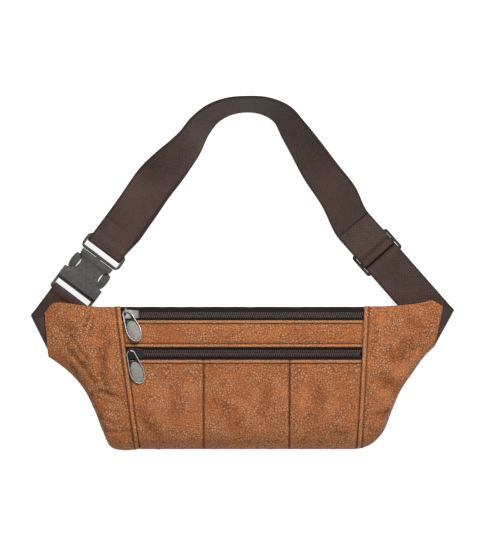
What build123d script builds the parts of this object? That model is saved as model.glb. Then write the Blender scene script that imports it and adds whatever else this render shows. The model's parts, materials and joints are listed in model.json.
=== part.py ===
"""Waist pack: a flat leather pouch with two zips, on a webbing belt with a side-release buckle.

The pack lies on its back. X runs along the pack, Y from its lower edge to its belt, Z out of its
front. The origin is the centre of the flat part of its back. Everything is in millimetres.
"""

from build123d import *
import os
from math import atan2, cos, degrees, radians, sin, sqrt

os.makedirs("parts", exist_ok=True)

# --- materials of the pack -------------------------------------------------------------------
leather = 1.4
lining = 0.5
webbing_width = 37.0
webbing = 1.3
tape = 0.6
gap = 0.3
layer_gap = 0.1

# --- section of the pouch, across the pack ---------------------------------------------------
depth = 32.0
bottom_y = -66.0
top_y = 66.5
bottom_seam_z = 8.5
top_seam_z = 12.5
rest_half = 52.0
turn_share = 0.38
turn_height = 0.3
# the front's lower part: (in from the lower edge, down from the full depth)
front_turn = [(3.6, 15.5), (10.0, 8.6), (24.0, 2.7), (50.0, 0.0)]
front_slot = (17.8, 29.4)
front_slot_drop = (0.3, 1.0)
main_slot = (54.5, 65.4)
main_slot_drop = (6.5, 12.1)
# the wall behind the front pocket: how far over the zip's slot it starts, then (y, z) down from it
divider_over_slot = 5.0
divider_points = [(13.8, 22.0), (-32.0, 16.0), (-61.0, 12.5)]
divider_ways = [(-1, -0.15), (-1, -0.6)]

# --- panel seams, along the pack: x at the bottom edge and x at the top edge ------------------
left_seam = (-96.2, -114.0)
right_seam = (106.0, 112.5)
pocket_seams = (-36.5, 43.0)
ridge_width = 3.7
ridge_height = 1.2
ridge_set_back = 0.5

# --- wings, from the seam to the belt: (x, y) of the lower edge, (x, y) of the upper edge, then
# --- the rise off the table, from 0 to 1 at the belt, and the fullness, from 1 at the seam to 0
left_wing = [
    (left_seam[0], bottom_y, left_seam[1], top_y, 0.0, 1.0),
    (-112.0, -67.0, -124.0, 66.5, 0.03, 0.98),
    (-123.5, -63.5, -134.0, 66.5, 0.13, 0.90),
    (-130.5, -49.5, -142.0, 67.0, 0.42, 0.73),
    (-137.5, -31.0, -151.0, 68.0, 0.69, 0.55),
    (-148.0, -10.0, -161.0, 69.5, 0.82, 0.39),
    (-162.0, 6.0, -171.0, 70.5, 0.90, 0.20),
    (-174.0, 15.5, -178.5, 68.5, 0.97, 0.07),
    (-181.5, 20.5, -185.0, 60.5, 1.0, 0.0),
]
right_wing = [
    (right_seam[0], bottom_y, right_seam[1], top_y, 0.0, 1.0),
    (114.0, -64.0, 121.0, 67.0, 0.03, 0.96),
    (122.5, -59.0, 130.5, 67.0, 0.16, 0.86),
    (131.0, -49.0, 139.5, 67.5, 0.35, 0.73),
    (138.0, -31.5, 148.5, 68.0, 0.56, 0.57),
    (146.5, -11.5, 157.5, 69.0, 0.75, 0.42),
    (158.0, 5.5, 167.0, 70.5, 0.89, 0.24),
    (170.0, 22.0, 177.5, 72.0, 0.97, 0.07),
    (178.0, 29.5, 186.3, 66.8, 1.0, 0.0),
]
wing_end_thick = 6.2
strap_in_wing = 14.0
strap_sewn_width = 28.0

# --- belt --------------------------------------------------------------------------------------
leg_z = 5.2
wing_strap_z = 14.6
left_exit_y = 40.3
left_exit_heading = 180.0
buckle_x = -145.0
buckle_y = 98.4
buckle_heading = 53.0
right_fold = (187.5, 46.5)
right_exit_heading = -9.0
glide_centre = (125.1, 117.3)

# the arch of the belt: (x, y) of its outer edge and of its inner edge, from the adjuster round
arch_edges = [
    (104.0, 179.0, 73.8, 160.5),
    (86.0, 201.5, 56.5, 187.0),
    (71.0, 220.5, 46.5, 206.5),
    (56.0, 238.5, 36.5, 225.5),
    (43.0, 252.0, 29.5, 239.5),
    (25.0, 259.5, 18.5, 246.5),
    (2.0, 261.0, 2.5, 249.0),
    (-17.0, 259.0, -12.5, 246.0),
    (-33.0, 253.0, -24.0, 239.0),
    (-46.5, 243.0, -32.5, 227.5),
    (-60.0, 228.0, -41.0, 209.0),
    (-79.0, 212.5, -52.0, 192.5),
    (-98.0, 194.5, -69.0, 171.0),
    (-114.4, 170.4, -85.2, 148.4),
]
arch_floor = 1.6
strap_play = 0.25
fold_leg = 20.0
loop_taper = 3.0
doubled_to = 6.0
arch_start = 34.0
arch_end = 52.0
arch_parts = 24

# --- buckle: lengths run along its axis, from the socket's side (-) to the plug's (+) -------------
rail = 2.6
moulding_corner = 2.0
cut_corner = 1.0
socket_chamfer = 1.2
plug_chamfer = 0.8
lap = 1.0
slot_play = 0.6
socket_thick = 9.6
frame_thick = 5.6
socket_bar_width = 4.6
plug_bar_width = 7.4
bar_thick = 2.2
slot_length = 6.2
socket_bar_at = 26.0
housing_at = -18.0
mouth_at = 16.3
waist = [(11.8, 16.9), (17.3, 17.2)]
cavity_at = -15.5
cavity_half = 18.4
cavity_height = 6.2
window_at = 3.2
window_reach = 9.6
window_depth = 10.0
plug_bar_at = 25.8
plug_frame_at = 16.8
plug_corner = 5.0
tongue_half = 2.5
tongue_tip_at = -12.0
arm_height = 5.4
arm_hinge = (17.3, 13.6)
arm_outline = [
    (16.3, 12.2),
    (16.3, 15.4),
    (11.4, 15.8),
    (10.2, 17.0),
    (9.9, 19.4),
    (7.0, 20.2),
    (2.5, 20.5),
    (-2.0, 20.0),
    (-5.0, 18.8),
    (-6.2, 17.0),
    (-13.0, 16.2),
    (-14.0, 15.2),
    (-13.0, 14.2),
    (-4.0, 13.2),
    (9.0, 12.6),
]

# --- strap adjuster: lengths run along the strap, from the wing's side (-) to the arch's (+) ------
glide_bar = 3.6
glide_centre_bar = 4.6
glide_slot = 6.2
glide_thick = 2.6
glide_corner = 3.0
glide_chamfer = 0.6

# height of the strap's middle over the adjuster's, along the strap: from the wing to the arch
strap_under = [
    (-20.0, 0.0),
    (-13.0, 2.15),
    (-8.0, 2.15),
    (-4.6, -3.55),
    (4.6, -3.55),
    (8.0, 2.15),
    (13.0, 2.15),
    (22.0, -1.0),
    (34.0, -0.7),
]
# and back from the arch, round the adjuster's centre bar, to the strap's sewn end
strap_over = [
    (34.0, 0.7),
    (23.5, 1.9),
    (14.0, 4.95),
    (6.6, 4.95),
    (3.0, 2.4),
    (2.3, 2.15),
    (-2.4, 2.15),
    (-3.1, 1.4),
    (-3.1, -1.4),
    (-2.4, -2.15),
    (3.6, -2.15),
    (7.0, 3.5),
    (13.0, 3.5),
    (22.0, 0.45),
]

# --- zips --------------------------------------------------------------------------------------
# a slider's outline: (along it from its nose, half its width)
slider_side = [(0.0, 2.9), (2.3, 4.8), (8.3, 4.8), (15.0, 4.0)]
tape_width = 14.0
coil_width = 5.8
coil_height = 1.8
coil_round = 1.1
main_coil_in = 5.2
slider_plate = 1.2
slider_post = 2.4
slider_corner = 1.0
post_corner = 0.7
slider_edge = 0.48
flange_thick = 0.9
flange_above_tape = 0.63
main_slider_from_seam = 1.0
front_slider_from_seam = 0.4
bail_wire = 1.2
bail_span = 6.0
bail_rise = 3.6
bail_play = 0.4
bail_back = 4.4
bail_side_step = 1.8
pull_length = 32.0
pull_width = 13.4
pull_neck = 8.2
pull_thick = 1.5
pull_rim = 1.5
pull_corner = 0.3
pull_loop_to = 7.7
dish_reach = 8.0
dish_inset = 2.4
dish_depth = 0.4
pull_checks = (0.3, 0.4, 0.5, 0.6, 0.7, 0.8, 0.9, 1.0)
main_pull_lean = 23.0
front_pull_lean = 19.0

# --- values worked out from the sizes above -----------------------------------------------------
slider_length = slider_side[-1][0]
slider_width = 2 * max(half for along, half in slider_side)
slot_width = webbing_width + slot_play
slot_corner = slot_play / 3
frame_width = slot_width + 2 * rail
bend_radius = (wing_strap_z - leg_z) / 2
leg_heading = degrees(atan2(glide_centre[1] - right_fold[1], glide_centre[0] - right_fold[0]))
glide_length = 2 * glide_bar + glide_centre_bar + 2 * glide_slot
doubled = 2 * webbing + layer_gap


def finish(part, name):
    """Label one finished sub-part and write its file."""
    part.label = name
    export_step(part, f"parts/{name}.step")


def heading(angle):
    """Unit vector at this heading in the XY plane."""
    return Vector(cos(radians(angle)), sin(radians(angle)), 0)


# === section of the pouch =======================================================================
front_line = [
    (bottom_y, bottom_seam_z),
    *[(bottom_y + along, depth - drop) for along, drop in front_turn],
    (front_slot[0], depth - front_slot_drop[0]),
    (front_slot[1], depth - front_slot_drop[1]),
    (main_slot[0], depth - main_slot_drop[0]),
    (main_slot[1], depth - main_slot_drop[1]),
    (top_y, top_seam_z),
]
back_line = [
    (bottom_y, bottom_seam_z),
    (bottom_y - (bottom_y + rest_half) * turn_share, bottom_seam_z * turn_height),
    (-rest_half, 0.0),
    (0.0, 0.0),
    (rest_half, 0.0),
    (top_y - (top_y - rest_half) * turn_share, top_seam_z * turn_height),
    (top_y, top_seam_z),
]


def directions(points, start, end):
    """Direction of travel at each point of an outline, given the two at its ends."""
    runs = [Vector(*start).normalized()]
    for before, after in zip(points[:-2], points[2:]):
        runs.append((Vector(*after) - Vector(*before)).normalized())
    runs.append(Vector(*end).normalized())
    return runs


def straight(points, runs, place):
    """Set both directions of one stretch along the stretch itself."""
    run = (Vector(*points[place + 1]) - Vector(*points[place])).normalized()
    runs[place] = run
    runs[place + 1] = run


def moved_in(points, runs, inset, side):
    """The points moved into the pouch: side is 1 for the front's outline, -1 for the back's."""
    return [
        Vector(*point) + Vector(run.Y, -run.X) * inset * side
        for point, run in zip(points, runs)
    ]


front_runs = directions(front_line, (0.05, 1), (-0.1, -1))
straight(front_line, front_runs, 5)
straight(front_line, front_runs, 7)
back_runs = directions(back_line, (-0.05, -1), (0.1, 1))
straight(back_line, back_runs, 2)
straight(back_line, back_runs, 3)


def pouch_outline(inset):
    """Draw the section's closed outline, moved inwards, in the current BuildLine."""
    front = moved_in(front_line, front_runs, inset, 1)
    back = moved_in(back_line, back_runs, inset, -1)
    Spline(*front[:6], tangents=[front_runs[0], front_runs[5]])
    Line(front[5], front[6])
    Spline(*front[6:8], tangents=[front_runs[6], front_runs[7]])
    Line(front[7], front[8])
    Spline(*front[8:], tangents=[front_runs[8], front_runs[9]])
    Spline(*back[:3], tangents=[back_runs[0], back_runs[2]])
    Line(back[2], back[4])
    Spline(*back[4:], tangents=[back_runs[4], back_runs[6]])


def section_ring(outer, inner):
    """The section between two distances in from the pouch's outer surface."""
    with BuildSketch(Plane.YZ) as ring:
        with BuildLine():
            pouch_outline(outer)
        make_face()
        with BuildLine():
            pouch_outline(inner)
        make_face(mode=Mode.SUBTRACT)
    return ring.sketch_local


leather_ring = section_ring(0, leather)
tape_ring = section_ring(leather, leather + tape)
lining_ring = section_ring(leather, leather + lining)
with BuildSketch(Plane.YZ) as pouch_section:
    with BuildLine():
        pouch_outline(0)
    make_face()


def seam_x(seam, y):
    """Where a slanted panel seam stands at this y."""
    return seam[0] + (seam[1] - seam[0]) * (y - bottom_y) / (top_y - bottom_y)


far = 2 * depth
seam_ends = (bottom_y - far, top_y + far)
with BuildSketch(Plane.XY) as between_seams:
    with BuildLine():
        Polyline(
            (seam_x(left_seam, seam_ends[0]), seam_ends[0]),
            (seam_x(right_seam, seam_ends[0]), seam_ends[0]),
            (seam_x(right_seam, seam_ends[1]), seam_ends[1]),
            (seam_x(left_seam, seam_ends[1]), seam_ends[1]),
            close=True,
        )
    make_face()


def surface_z(y):
    """Height of the front's outer surface at this y."""
    probe = Edge.make_line((0, y, depth / 2), (0, y, 2 * depth))
    inside = probe & pouch_section.sketch
    return inside.bounding_box().max.Z


def seam_region(low, high, front=True):
    """The part of the section from y = low to high, in front of the edge seams or behind them."""
    edge = far if front else -far
    with BuildSketch(Plane.YZ) as region:
        with BuildLine():
            Polyline(
                (low, seam_z(low)),
                (high, seam_z(high)),
                (high, edge),
                (low, edge),
                close=True,
            )
        make_face()
    return region.sketch_local


def seam_z(y):
    """Height of the line between the lower and the upper edge seam."""
    return bottom_seam_z + (top_seam_z - bottom_seam_z) * (y - bottom_y) / (top_y - bottom_y)


def along_pack(ring, region, x_from=-far * 3, x_to=far * 3):
    """A panel of the centre: a region of a section ring, run along X between the seams."""
    with BuildSketch(Plane.YZ) as band:
        add(ring)
        add(region, mode=Mode.INTERSECT)
    with BuildPart() as panel:
        extrude(band.sketch, amount=far * 3, both=True)
        extrude(between_seams.sketch, amount=far, both=True, mode=Mode.INTERSECT)
        with BuildSketch(Plane.XY):
            with Locations(((x_from + x_to) / 2, 0)):
                Rectangle(x_to - x_from, 4 * far)
        extrude(amount=far, both=True, mode=Mode.INTERSECT)
    return panel.part


# === leather and lining of the centre ===========================================================
back_panel = along_pack(leather_ring, seam_region(-far * 2, far * 2, front=False))
finish(back_panel, "back_panel")

front_strip = along_pack(leather_ring, seam_region(front_slot[1], main_slot[0]))
finish(front_strip, "front_strip")

pocket_region = seam_region(-far * 2, front_slot[0])
pocket_edges = [-far * 3, pocket_seams[0], pocket_seams[1], far * 3]
for place, name in enumerate(("pocket_panel_left", "pocket_panel_centre", "pocket_panel_right")):
    pocket_panel = along_pack(
        leather_ring, pocket_region, pocket_edges[place], pocket_edges[place + 1]
    )
    finish(pocket_panel, name)

main_lining = along_pack(lining_ring, seam_region(-far * 2, far * 2, front=False))
finish(main_lining, "main_lining")

divider_top_y = front_slot[1] + divider_over_slot
divider_top_z = surface_z(divider_top_y) - leather - tape - lining / 2
with BuildSketch(Plane.YZ) as divider:
    with BuildLine():
        Spline((divider_top_y, divider_top_z), *divider_points, tangents=divider_ways)
    trace(line_width=lining)
with BuildPart() as pocket_lining:
    extrude(divider.sketch, amount=far * 3, both=True)
    extrude(between_seams.sketch, amount=far, both=True, mode=Mode.INTERSECT)
finish(pocket_lining.part, "pocket_lining")


# === wings ======================================================================================
front = (front_line, front_runs, 1)
back = (back_line, back_runs, -1)


def wing_section(station, face, inset):
    """One station's outline points and directions: a face's, scaled to the station."""
    line, runs, side = face
    x_low, y_low, x_high, y_high, rise, fullness = station
    long = sqrt((x_high - x_low) ** 2 + (y_high - y_low) ** 2) / (top_y - bottom_y)
    lift = rise * (wing_strap_z - wing_end_thick / 2)
    thick = (wing_end_thick + fullness * (depth - wing_end_thick)) / depth
    points = [((y - bottom_y) * long, lift + z * thick) for y, z in line]
    turned = [Vector(run.X * long, run.Y * thick).normalized() for run in runs]
    return moved_in(points, turned, inset, side), turned


def station_plane(station):
    """Upright plane of one wing station, its x running from the lower edge to the upper edge."""
    x_low, y_low, x_high, y_high = station[:4]
    run = Vector(x_high - x_low, y_high - y_low, 0).normalized()
    return Plane(origin=(x_low, y_low, 0), x_dir=run, z_dir=run.cross(Vector(0, 0, 1)))


def wing_band(plane, station, face, outset, inset):
    """Section of a wing's leather at one station."""
    outer, outer_runs = wing_section(station, face, -outset)
    inner, inner_runs = wing_section(station, face, inset)
    with BuildSketch(plane) as band:
        with BuildLine():
            Spline(*outer, tangents=outer_runs)
            Line(outer[-1], inner[-1])
            Spline(*inner, tangents=inner_runs)
            Line(inner[0], outer[0])
        make_face()
    return band.sketch


def wing_panel(stations, face):
    """One leather panel of a wing, lofted from the seam to the belt."""
    with BuildPart() as panel:
        for station in stations:
            add(wing_band(station_plane(station), station, face, 0, leather))
        loft()
    return panel.part


def seam_ridge(station, side):
    """The folded edge of a wing, a raised band along its panel seam."""
    plane = station_plane(station).offset(side * ridge_set_back)
    with BuildPart() as ridge:
        extrude(
            wing_band(plane, station, front, ridge_height, leather / 2),
            amount=side * ridge_width,
        )
    return ridge.part


for name, stations, side in (("left", left_wing, -1), ("right", right_wing, 1)):
    with BuildPart() as wing_front:
        add(seam_ridge(stations[0], side))
        add(wing_panel(stations, front))
    finish(wing_front.part, f"wing_front_{name}")
    finish(wing_panel(stations, back), f"wing_back_{name}")


# === zips =======================================================================================
def zip_frame(low, run, along):
    """Plane on top of a zip's tape, under its coil: x along the pack, y towards the belt."""
    centre = Vector(*low) + run * along + Vector(run.Y, -run.X) * leather
    return Plane(origin=(0, centre.X, centre.Y), x_dir=(1, 0, 0), z_dir=(0, -run.Y, run.X))


def across(frame, x=0):
    """Plane square to a zip at this x: its x towards the belt, its y out of the tape."""
    return Plane(origin=frame.origin + Vector(x, 0, 0), x_dir=frame.y_dir, z_dir=(1, 0, 0))


def coil_half(frame, side, x_from):
    """One of a zip's two rows of teeth, from its slider to the right-hand panel seam."""
    with BuildSketch(across(frame)) as row:
        with Locations((side * coil_width / 4, coil_height / 2)):
            Rectangle(coil_width / 2, coil_height)
        outer = row.vertices().group_by(Axis.Y)[-1].sort_by(Axis.X)[0 if side < 0 else -1]
        fillet(outer, coil_round)
    with BuildPart() as coil:
        extrude(row.sketch, amount=far * 3, both=True)
        extrude(between_seams.sketch, amount=far, both=True, mode=Mode.INTERSECT)
        with BuildSketch(Plane.XY):
            with Locations((x_from + far * 2, 0)):
                Rectangle(far * 4, far * 4)
        extrude(amount=far, both=True, mode=Mode.INTERSECT)
    return coil.part


plate_top = coil_height + gap + slider_plate
plate_bottom = tape + gap + slider_plate
bail_centre = plate_top + bail_rise / 2
hinge_height = bail_centre + bail_play


def plate_sketch():
    """Outline of a slider's plates, its nose towards the closed end."""
    side = [(along - slider_length / 2, half) for along, half in slider_side]
    with BuildSketch() as plate:
        with BuildLine():
            Polyline(*side, *[(along, -half) for along, half in reversed(side)], close=True)
        make_face()
        fillet(plate.vertices(), slider_corner)
    return plate.sketch


def slider_body(frame, x):
    """Zip slider: an upper and a lower plate on a post, with a bail across its top."""
    place = Plane(origin=frame.origin + Vector(x, 0, 0), x_dir=frame.x_dir, z_dir=frame.z_dir)
    plate = plate_sketch()
    with BuildPart() as slider:
        with BuildSketch(Plane.XY.offset(plate_top - slider_plate)):
            add(plate)
        extrude(amount=slider_plate)
        fillet(slider.edges().group_by(Axis.Z)[-1], slider_edge)
        with BuildSketch(Plane.XY.offset(-plate_bottom)):
            add(plate)
        extrude(amount=slider_plate)
        with BuildSketch(Plane.XY.offset(flange_above_tape)):
            add(plate)
            offset(amount=-flange_thick, mode=Mode.SUBTRACT)
            Rectangle(slider_length * 2, coil_width + 4 * gap, mode=Mode.SUBTRACT)
        extrude(amount=plate_top - slider_plate / 2 - flange_above_tape)
        with BuildSketch(Plane.XY.offset(slider_plate / 2 - plate_bottom)):
            with Locations((slider_post - slider_length / 2, 0)):
                RectangleRounded(slider_post, slider_post, post_corner)
        extrude(amount=plate_bottom + plate_top - slider_plate)
        with BuildSketch(Plane.YZ.offset(-bail_back)):
            with Locations((bail_side_step, bail_centre)):
                RectangleRounded(bail_span, bail_rise + 2 * bail_wire, bail_wire)
                Rectangle(bail_span - 2 * bail_wire, bail_rise, mode=Mode.SUBTRACT)
            with Locations((bail_side_step, 0)):
                Rectangle(2 * bail_span, 2 * (plate_top - slider_plate / 2), mode=Mode.SUBTRACT)
        extrude(amount=bail_wire / 2, both=True)
    return place.location * slider.part


def pull_tab(frame, x, lean, clearance):
    """Zip pull: a flat drop-shaped loop hooked in the bail, lying on the leather below its zip."""
    hinge = frame.origin + Vector(x, 0, 0) + frame.y_dir * bail_side_step
    hinge = hinge + frame.z_dir * hinge_height
    end = pull_length - pull_rim / 2
    flat = Vector(sin(radians(lean)), -cos(radians(lean)), 0)
    slopes = []
    for share in pull_checks:
        below = surface_z((hinge + flat * end * share).Y) + clearance + pull_thick / 2
        slopes.append(atan2(hinge.Z - below, end * share))
    plate_edge = slider_width / 2 + bail_side_step
    edge_fall = atan2(hinge_height - plate_top - clearance - pull_thick / 2, plate_edge)
    slopes.append(edge_fall + atan2(frame.y_dir.Z, frame.y_dir.Y))
    slope_angle = min(slopes)
    down = flat * cos(slope_angle) - Vector(0, 0, 1) * sin(slope_angle)
    up = flat * sin(slope_angle) + Vector(0, 0, 1) * cos(slope_angle)
    bar = pull_rim / 2
    with BuildSketch(Plane(origin=hinge, x_dir=down, z_dir=up)) as outline:
        with Locations((pull_neck / 2 - bar, 0)):
            Circle(pull_neck / 2)
        with Locations((end - pull_width / 2, 0)):
            Circle(pull_width / 2)
        make_hull()
    with BuildSketch(Plane(origin=hinge, x_dir=down, z_dir=up)) as loop:
        with Locations((bar + pull_neck / 2 - pull_rim, 0), (pull_loop_to, 0)):
            Circle(pull_neck / 2 - pull_rim)
        make_hull()
    with BuildSketch(Plane(origin=hinge + up * pull_thick / 2, x_dir=down, z_dir=up)) as dish:
        with Locations((end - pull_width / 2 - dish_inset, 0)):
            Ellipse(dish_reach, pull_width / 2 - pull_rim)
    with BuildPart() as pull:
        extrude(outline.sketch, amount=pull_thick / 2, both=True)
        fillet(pull.edges().filter_by(GeomType.LINE, reverse=True), pull_corner)
        extrude(loop.sketch, amount=pull_thick, both=True, mode=Mode.SUBTRACT)
        extrude(dish.sketch, amount=-dish_depth, mode=Mode.SUBTRACT)
    return pull.part, hinge


front_slot_half = (Vector(*front_line[6]) - Vector(*front_line[5])).length / 2
for name, low, run, along, from_seam, lean in (
    (
        "front_zip", front_line[5], front_runs[5], front_slot_half,
        front_slider_from_seam, front_pull_lean,
    ),
    (
        "main_zip", front_line[7], front_runs[7], main_coil_in,
        main_slider_from_seam, main_pull_lean,
    ),
):
    frame = zip_frame(low, run, along)
    coil_y = frame.origin.Y
    slider_x = seam_x(left_seam, coil_y) + from_seam + slider_length / 2
    coil_from = slider_x - slider_length / 2 + slider_post * 1.5 + gap
    tape_low = coil_y - tape_width * run.X
    tape_high = coil_y + tape_width if name == "front_zip" else far * 2
    parting = (slider_post / 2 + gap) * run.X
    finish(along_pack(tape_ring, seam_region(tape_low, coil_y - parting)), f"{name}_tape_lower")
    finish(along_pack(tape_ring, seam_region(coil_y + parting, tape_high)), f"{name}_tape_upper")
    finish(coil_half(frame, -1, coil_from), f"{name}_teeth_lower")
    finish(coil_half(frame, 1, coil_from), f"{name}_teeth_upper")
    finish(slider_body(frame, slider_x), f"{name}_slider")
    pull, hinge = pull_tab(frame, slider_x - bail_back, lean, gap)
    finish(pull, f"{name}_pull")
    print(name, "coil", frame.origin, "pull hinge", hinge)


# === buckle =====================================================================================
buckle_at = Plane(
    origin=(buckle_x, buckle_y, leg_z), x_dir=heading(buckle_heading), z_dir=(0, 0, 1)
)
socket_end = -socket_bar_at - socket_bar_width
plug_end = plug_bar_at + plug_bar_width


def block(plane, low, high, width, corner, thick, mode=Mode.ADD):
    """A flat block from low to high along a plane's x, centred on the plane, in this BuildPart."""
    with BuildSketch(plane) as plan:
        with Locations(((low + high) / 2, 0)):
            RectangleRounded(high - low, width, corner)
    extrude(plan.sketch, amount=thick / 2, both=True, mode=mode)


def bar_slot(plane, slot_from, slot_to, bar_from, bar_to):
    """Cut a strap slot and thin the bar beside it, in this BuildPart."""
    block(plane, slot_from, slot_to, slot_width, slot_corner, depth, mode=Mode.SUBTRACT)
    for side in (-1, 1):
        with BuildSketch(plane.offset(side * bar_thick / 2)) as beside:
            with Locations(((bar_from + bar_to) / 2, 0)):
                Rectangle(bar_to - bar_from, slot_width)
        extrude(beside.sketch, amount=side * depth, mode=Mode.SUBTRACT)


with BuildPart() as socket:
    block(buckle_at, housing_at, mouth_at, frame_width, moulding_corner, socket_thick)
    chamfer(socket.edges().group_by(Axis.Z)[-1], socket_chamfer)
    chamfer(socket.edges().group_by(Axis.Z)[0], socket_chamfer)
    block(
        buckle_at, socket_end, housing_at + 2 * moulding_corner, frame_width, moulding_corner,
        frame_thick,
    )
    bar_slot(buckle_at, -socket_bar_at, -socket_bar_at + slot_length, socket_end, -socket_bar_at)
    block(
        buckle_at, cavity_at, mouth_at + far, 2 * cavity_half, cut_corner, cavity_height,
        mode=Mode.SUBTRACT,
    )
    with BuildSketch(buckle_at):
        with Locations((window_at, frame_width / 2), (window_at, -frame_width / 2)):
            Ellipse(window_reach, window_depth)
        for side in (1, -1):
            with BuildLine():
                Polyline(
                    *[(along, side * half) for along, half in waist],
                    (waist[1][0], side * frame_width),
                    (waist[0][0], side * frame_width),
                    close=True,
                )
            make_face()
    extrude(amount=depth, both=True, mode=Mode.SUBTRACT)
finish(socket.part, "buckle_socket")

with BuildPart() as plug:
    block(buckle_at, plug_frame_at, plug_end, frame_width, plug_corner, frame_thick)
    chamfer(plug.edges().group_by(Axis.Z)[-1], plug_chamfer)
    chamfer(plug.edges().group_by(Axis.Z)[0], plug_chamfer)
    bar_slot(buckle_at, plug_bar_at - slot_length, plug_bar_at, plug_bar_at, plug_end)
    block(buckle_at, tongue_tip_at, plug_frame_at + lap, 2 * tongue_half, cut_corner, arm_height)
finish(plug.part, "buckle_plug")

for name, side in (("left", 1), ("right", -1)):
    with BuildPart() as plug_arm:
        with BuildSketch(buckle_at):
            with BuildLine():
                Polyline(*[(u, side * v) for u, v in arm_outline], close=True)
            make_face()
        extrude(amount=arm_height / 2, both=True)
    finish(plug_arm.part, f"plug_arm_{name}")
    hinge = buckle_at.from_local_coords(Vector(arm_hinge[0], side * arm_hinge[1], 0))
    print("plug_arm", name, "hinge", hinge)

# === strap adjuster =============================================================================
glide_at = Plane(origin=(*glide_centre, leg_z), x_dir=heading(leg_heading), z_dir=(0, 0, 1))
with BuildPart() as tri_glide:
    block(
        glide_at, -glide_length / 2, glide_length / 2, frame_width, glide_corner, glide_thick
    )
    chamfer(tri_glide.edges().group_by(Axis.Z)[-1], glide_chamfer)
    chamfer(tri_glide.edges().group_by(Axis.Z)[0], glide_chamfer)
    for side in (-1, 1):
        near = side * glide_centre_bar / 2
        block(
            glide_at, *sorted((near, near + side * glide_slot)), slot_width, slot_corner,
            depth, mode=Mode.SUBTRACT,
        )
finish(tri_glide.part, "tri_glide")


# === belt =======================================================================================
def band(points):
    """Outline of the webbing's thickness along a line of points, mitred at each of them."""
    runs = [
        (Vector(*after) - Vector(*before)).normalized()
        for before, after in zip(points[:-1], points[1:])
    ]
    sides = []
    for place, point in enumerate(points):
        after = runs[min(place, len(runs) - 1)]
        turn = (runs[max(place - 1, 0)] + after).normalized()
        step = Vector(-turn.Y, turn.X) * (webbing / 2 / turn.dot(after))
        sides.append((Vector(*point) + step, Vector(*point) - step))
    return [left for left, right in sides] + [right for left, right in reversed(sides)]


def upright(origin, angle):
    """Plane along a strap and up: its x along this heading, its y up, at the strap's middle."""
    return Plane(origin=origin, x_dir=heading(angle), z_dir=-heading(angle + 90))


def strap_run(plane, outline, hole=None):
    """A straight run of strap, full width, from the outline of its side."""
    with BuildPart() as run:
        with BuildSketch(plane):
            with BuildLine():
                Polyline(*outline, close=True)
            make_face()
            if hole:
                with Locations((hole[0], 0)):
                    Rectangle(hole[1], hole[2], mode=Mode.SUBTRACT)
        extrude(amount=webbing_width / 2, both=True)
    return run.part


def bar_loop(bar_at, bar_width, end):
    """Outline of a doubled strap looped round a bar, and the hole the bar sits in."""
    turn = bar_thick / 2 + strap_play + webbing
    near = bar_at - strap_play - webbing
    open_at = bar_at + bar_width + strap_play + webbing
    upper = [
        (near, turn - webbing),
        (near + webbing, turn),
        (open_at, turn),
        (open_at + loop_taper, doubled / 2),
    ]
    lower = [(along, -up) for along, up in reversed(upper)]
    hole = (bar_at + bar_width / 2, bar_width + 2 * strap_play, bar_thick + 2 * strap_play)
    return upper + end + lower, hole


def strap_fold(corner, exit_angle, leg_angle, wing_end):
    """A strap leaving a wing, folded down on the skew and led back under the wing."""
    fold_angle = (exit_angle + leg_angle) / 2
    side = 1 if exit_angle > leg_angle else -1
    middle = Vector(*corner, leg_z + bend_radius)
    inner = bend_radius - webbing / 2
    outer = bend_radius + webbing / 2
    leave = Plane(origin=middle, x_dir=heading(exit_angle), z_dir=(0, 0, 1))
    low = leave.to_local_coords(Vector(*wing_end[0:2], middle.Z)) + Vector(gap, 0, 0)
    high = leave.to_local_coords(Vector(*wing_end[2:4], middle.Z)) + Vector(gap, 0, 0)
    slant = (high - low) * 2
    sewn_from = (low.X + high.X) / 2 - strap_in_wing
    with BuildPart() as reach:
        with BuildSketch(leave):
            with BuildLine():
                Polyline(
                    low - slant,
                    high + slant,
                    high + slant + Vector(2 * far, 0, 0),
                    low - slant + Vector(2 * far, 0, 0),
                    close=True,
                )
            make_face()
            Rectangle(4 * far, webbing_width, mode=Mode.INTERSECT)
        extrude(amount=depth)
        with BuildSketch(leave.offset(bend_radius - webbing / 2)):
            with Locations((sewn_from / 2, 0)):
                Rectangle(-sewn_from, strap_sewn_width)
        extrude(amount=webbing)
        with BuildSketch(Plane(origin=middle, x_dir=heading(leg_angle), z_dir=(0, 0, 1))):
            with Locations((fold_leg - far / 2, 0)):
                Rectangle(far, webbing_width)
        extrude(amount=-depth)
    with BuildPart() as fold:
        with BuildSketch(
            Plane(
                origin=middle,
                x_dir=heading(fold_angle + 90 * side),
                z_dir=heading(fold_angle) * side,
            )
        ):
            with Locations((-outer - far / 2, 0)):
                Rectangle(far, 2 * outer)
            with Locations((-outer, 0)):
                Circle(outer)
            with Locations((-outer - far / 2, 0)):
                Rectangle(far, 2 * inner, mode=Mode.SUBTRACT)
            with Locations((-outer, 0)):
                Circle(inner, mode=Mode.SUBTRACT)
        extrude(amount=webbing_width, both=True)
        add(reach.part, mode=Mode.INTERSECT)
    return fold.part


# --- short strap, from the left wing to the socket ---
fold_run = (buckle_y - left_exit_y) / sin(radians(buckle_heading))
left_fold = (buckle_x - fold_run * cos(radians(buckle_heading)), left_exit_y)
single_from = fold_run - fold_leg
short_end = [
    (single_from - doubled_to, doubled / 2),
    (single_from, webbing / 2),
    (single_from, -webbing / 2),
    (single_from - doubled_to, layer_gap / 2),
    (single_from - doubled_to, -doubled / 2),
]
short_outline, short_hole = bar_loop(socket_bar_at, socket_bar_width, short_end)
with BuildPart() as short_strap:
    add(strap_fold(left_fold, left_exit_heading, buckle_heading, left_wing[-1]))
    add(strap_run(upright(buckle_at.origin, buckle_heading + 180), short_outline, short_hole))
finish(short_strap.part, "short_strap")


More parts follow.
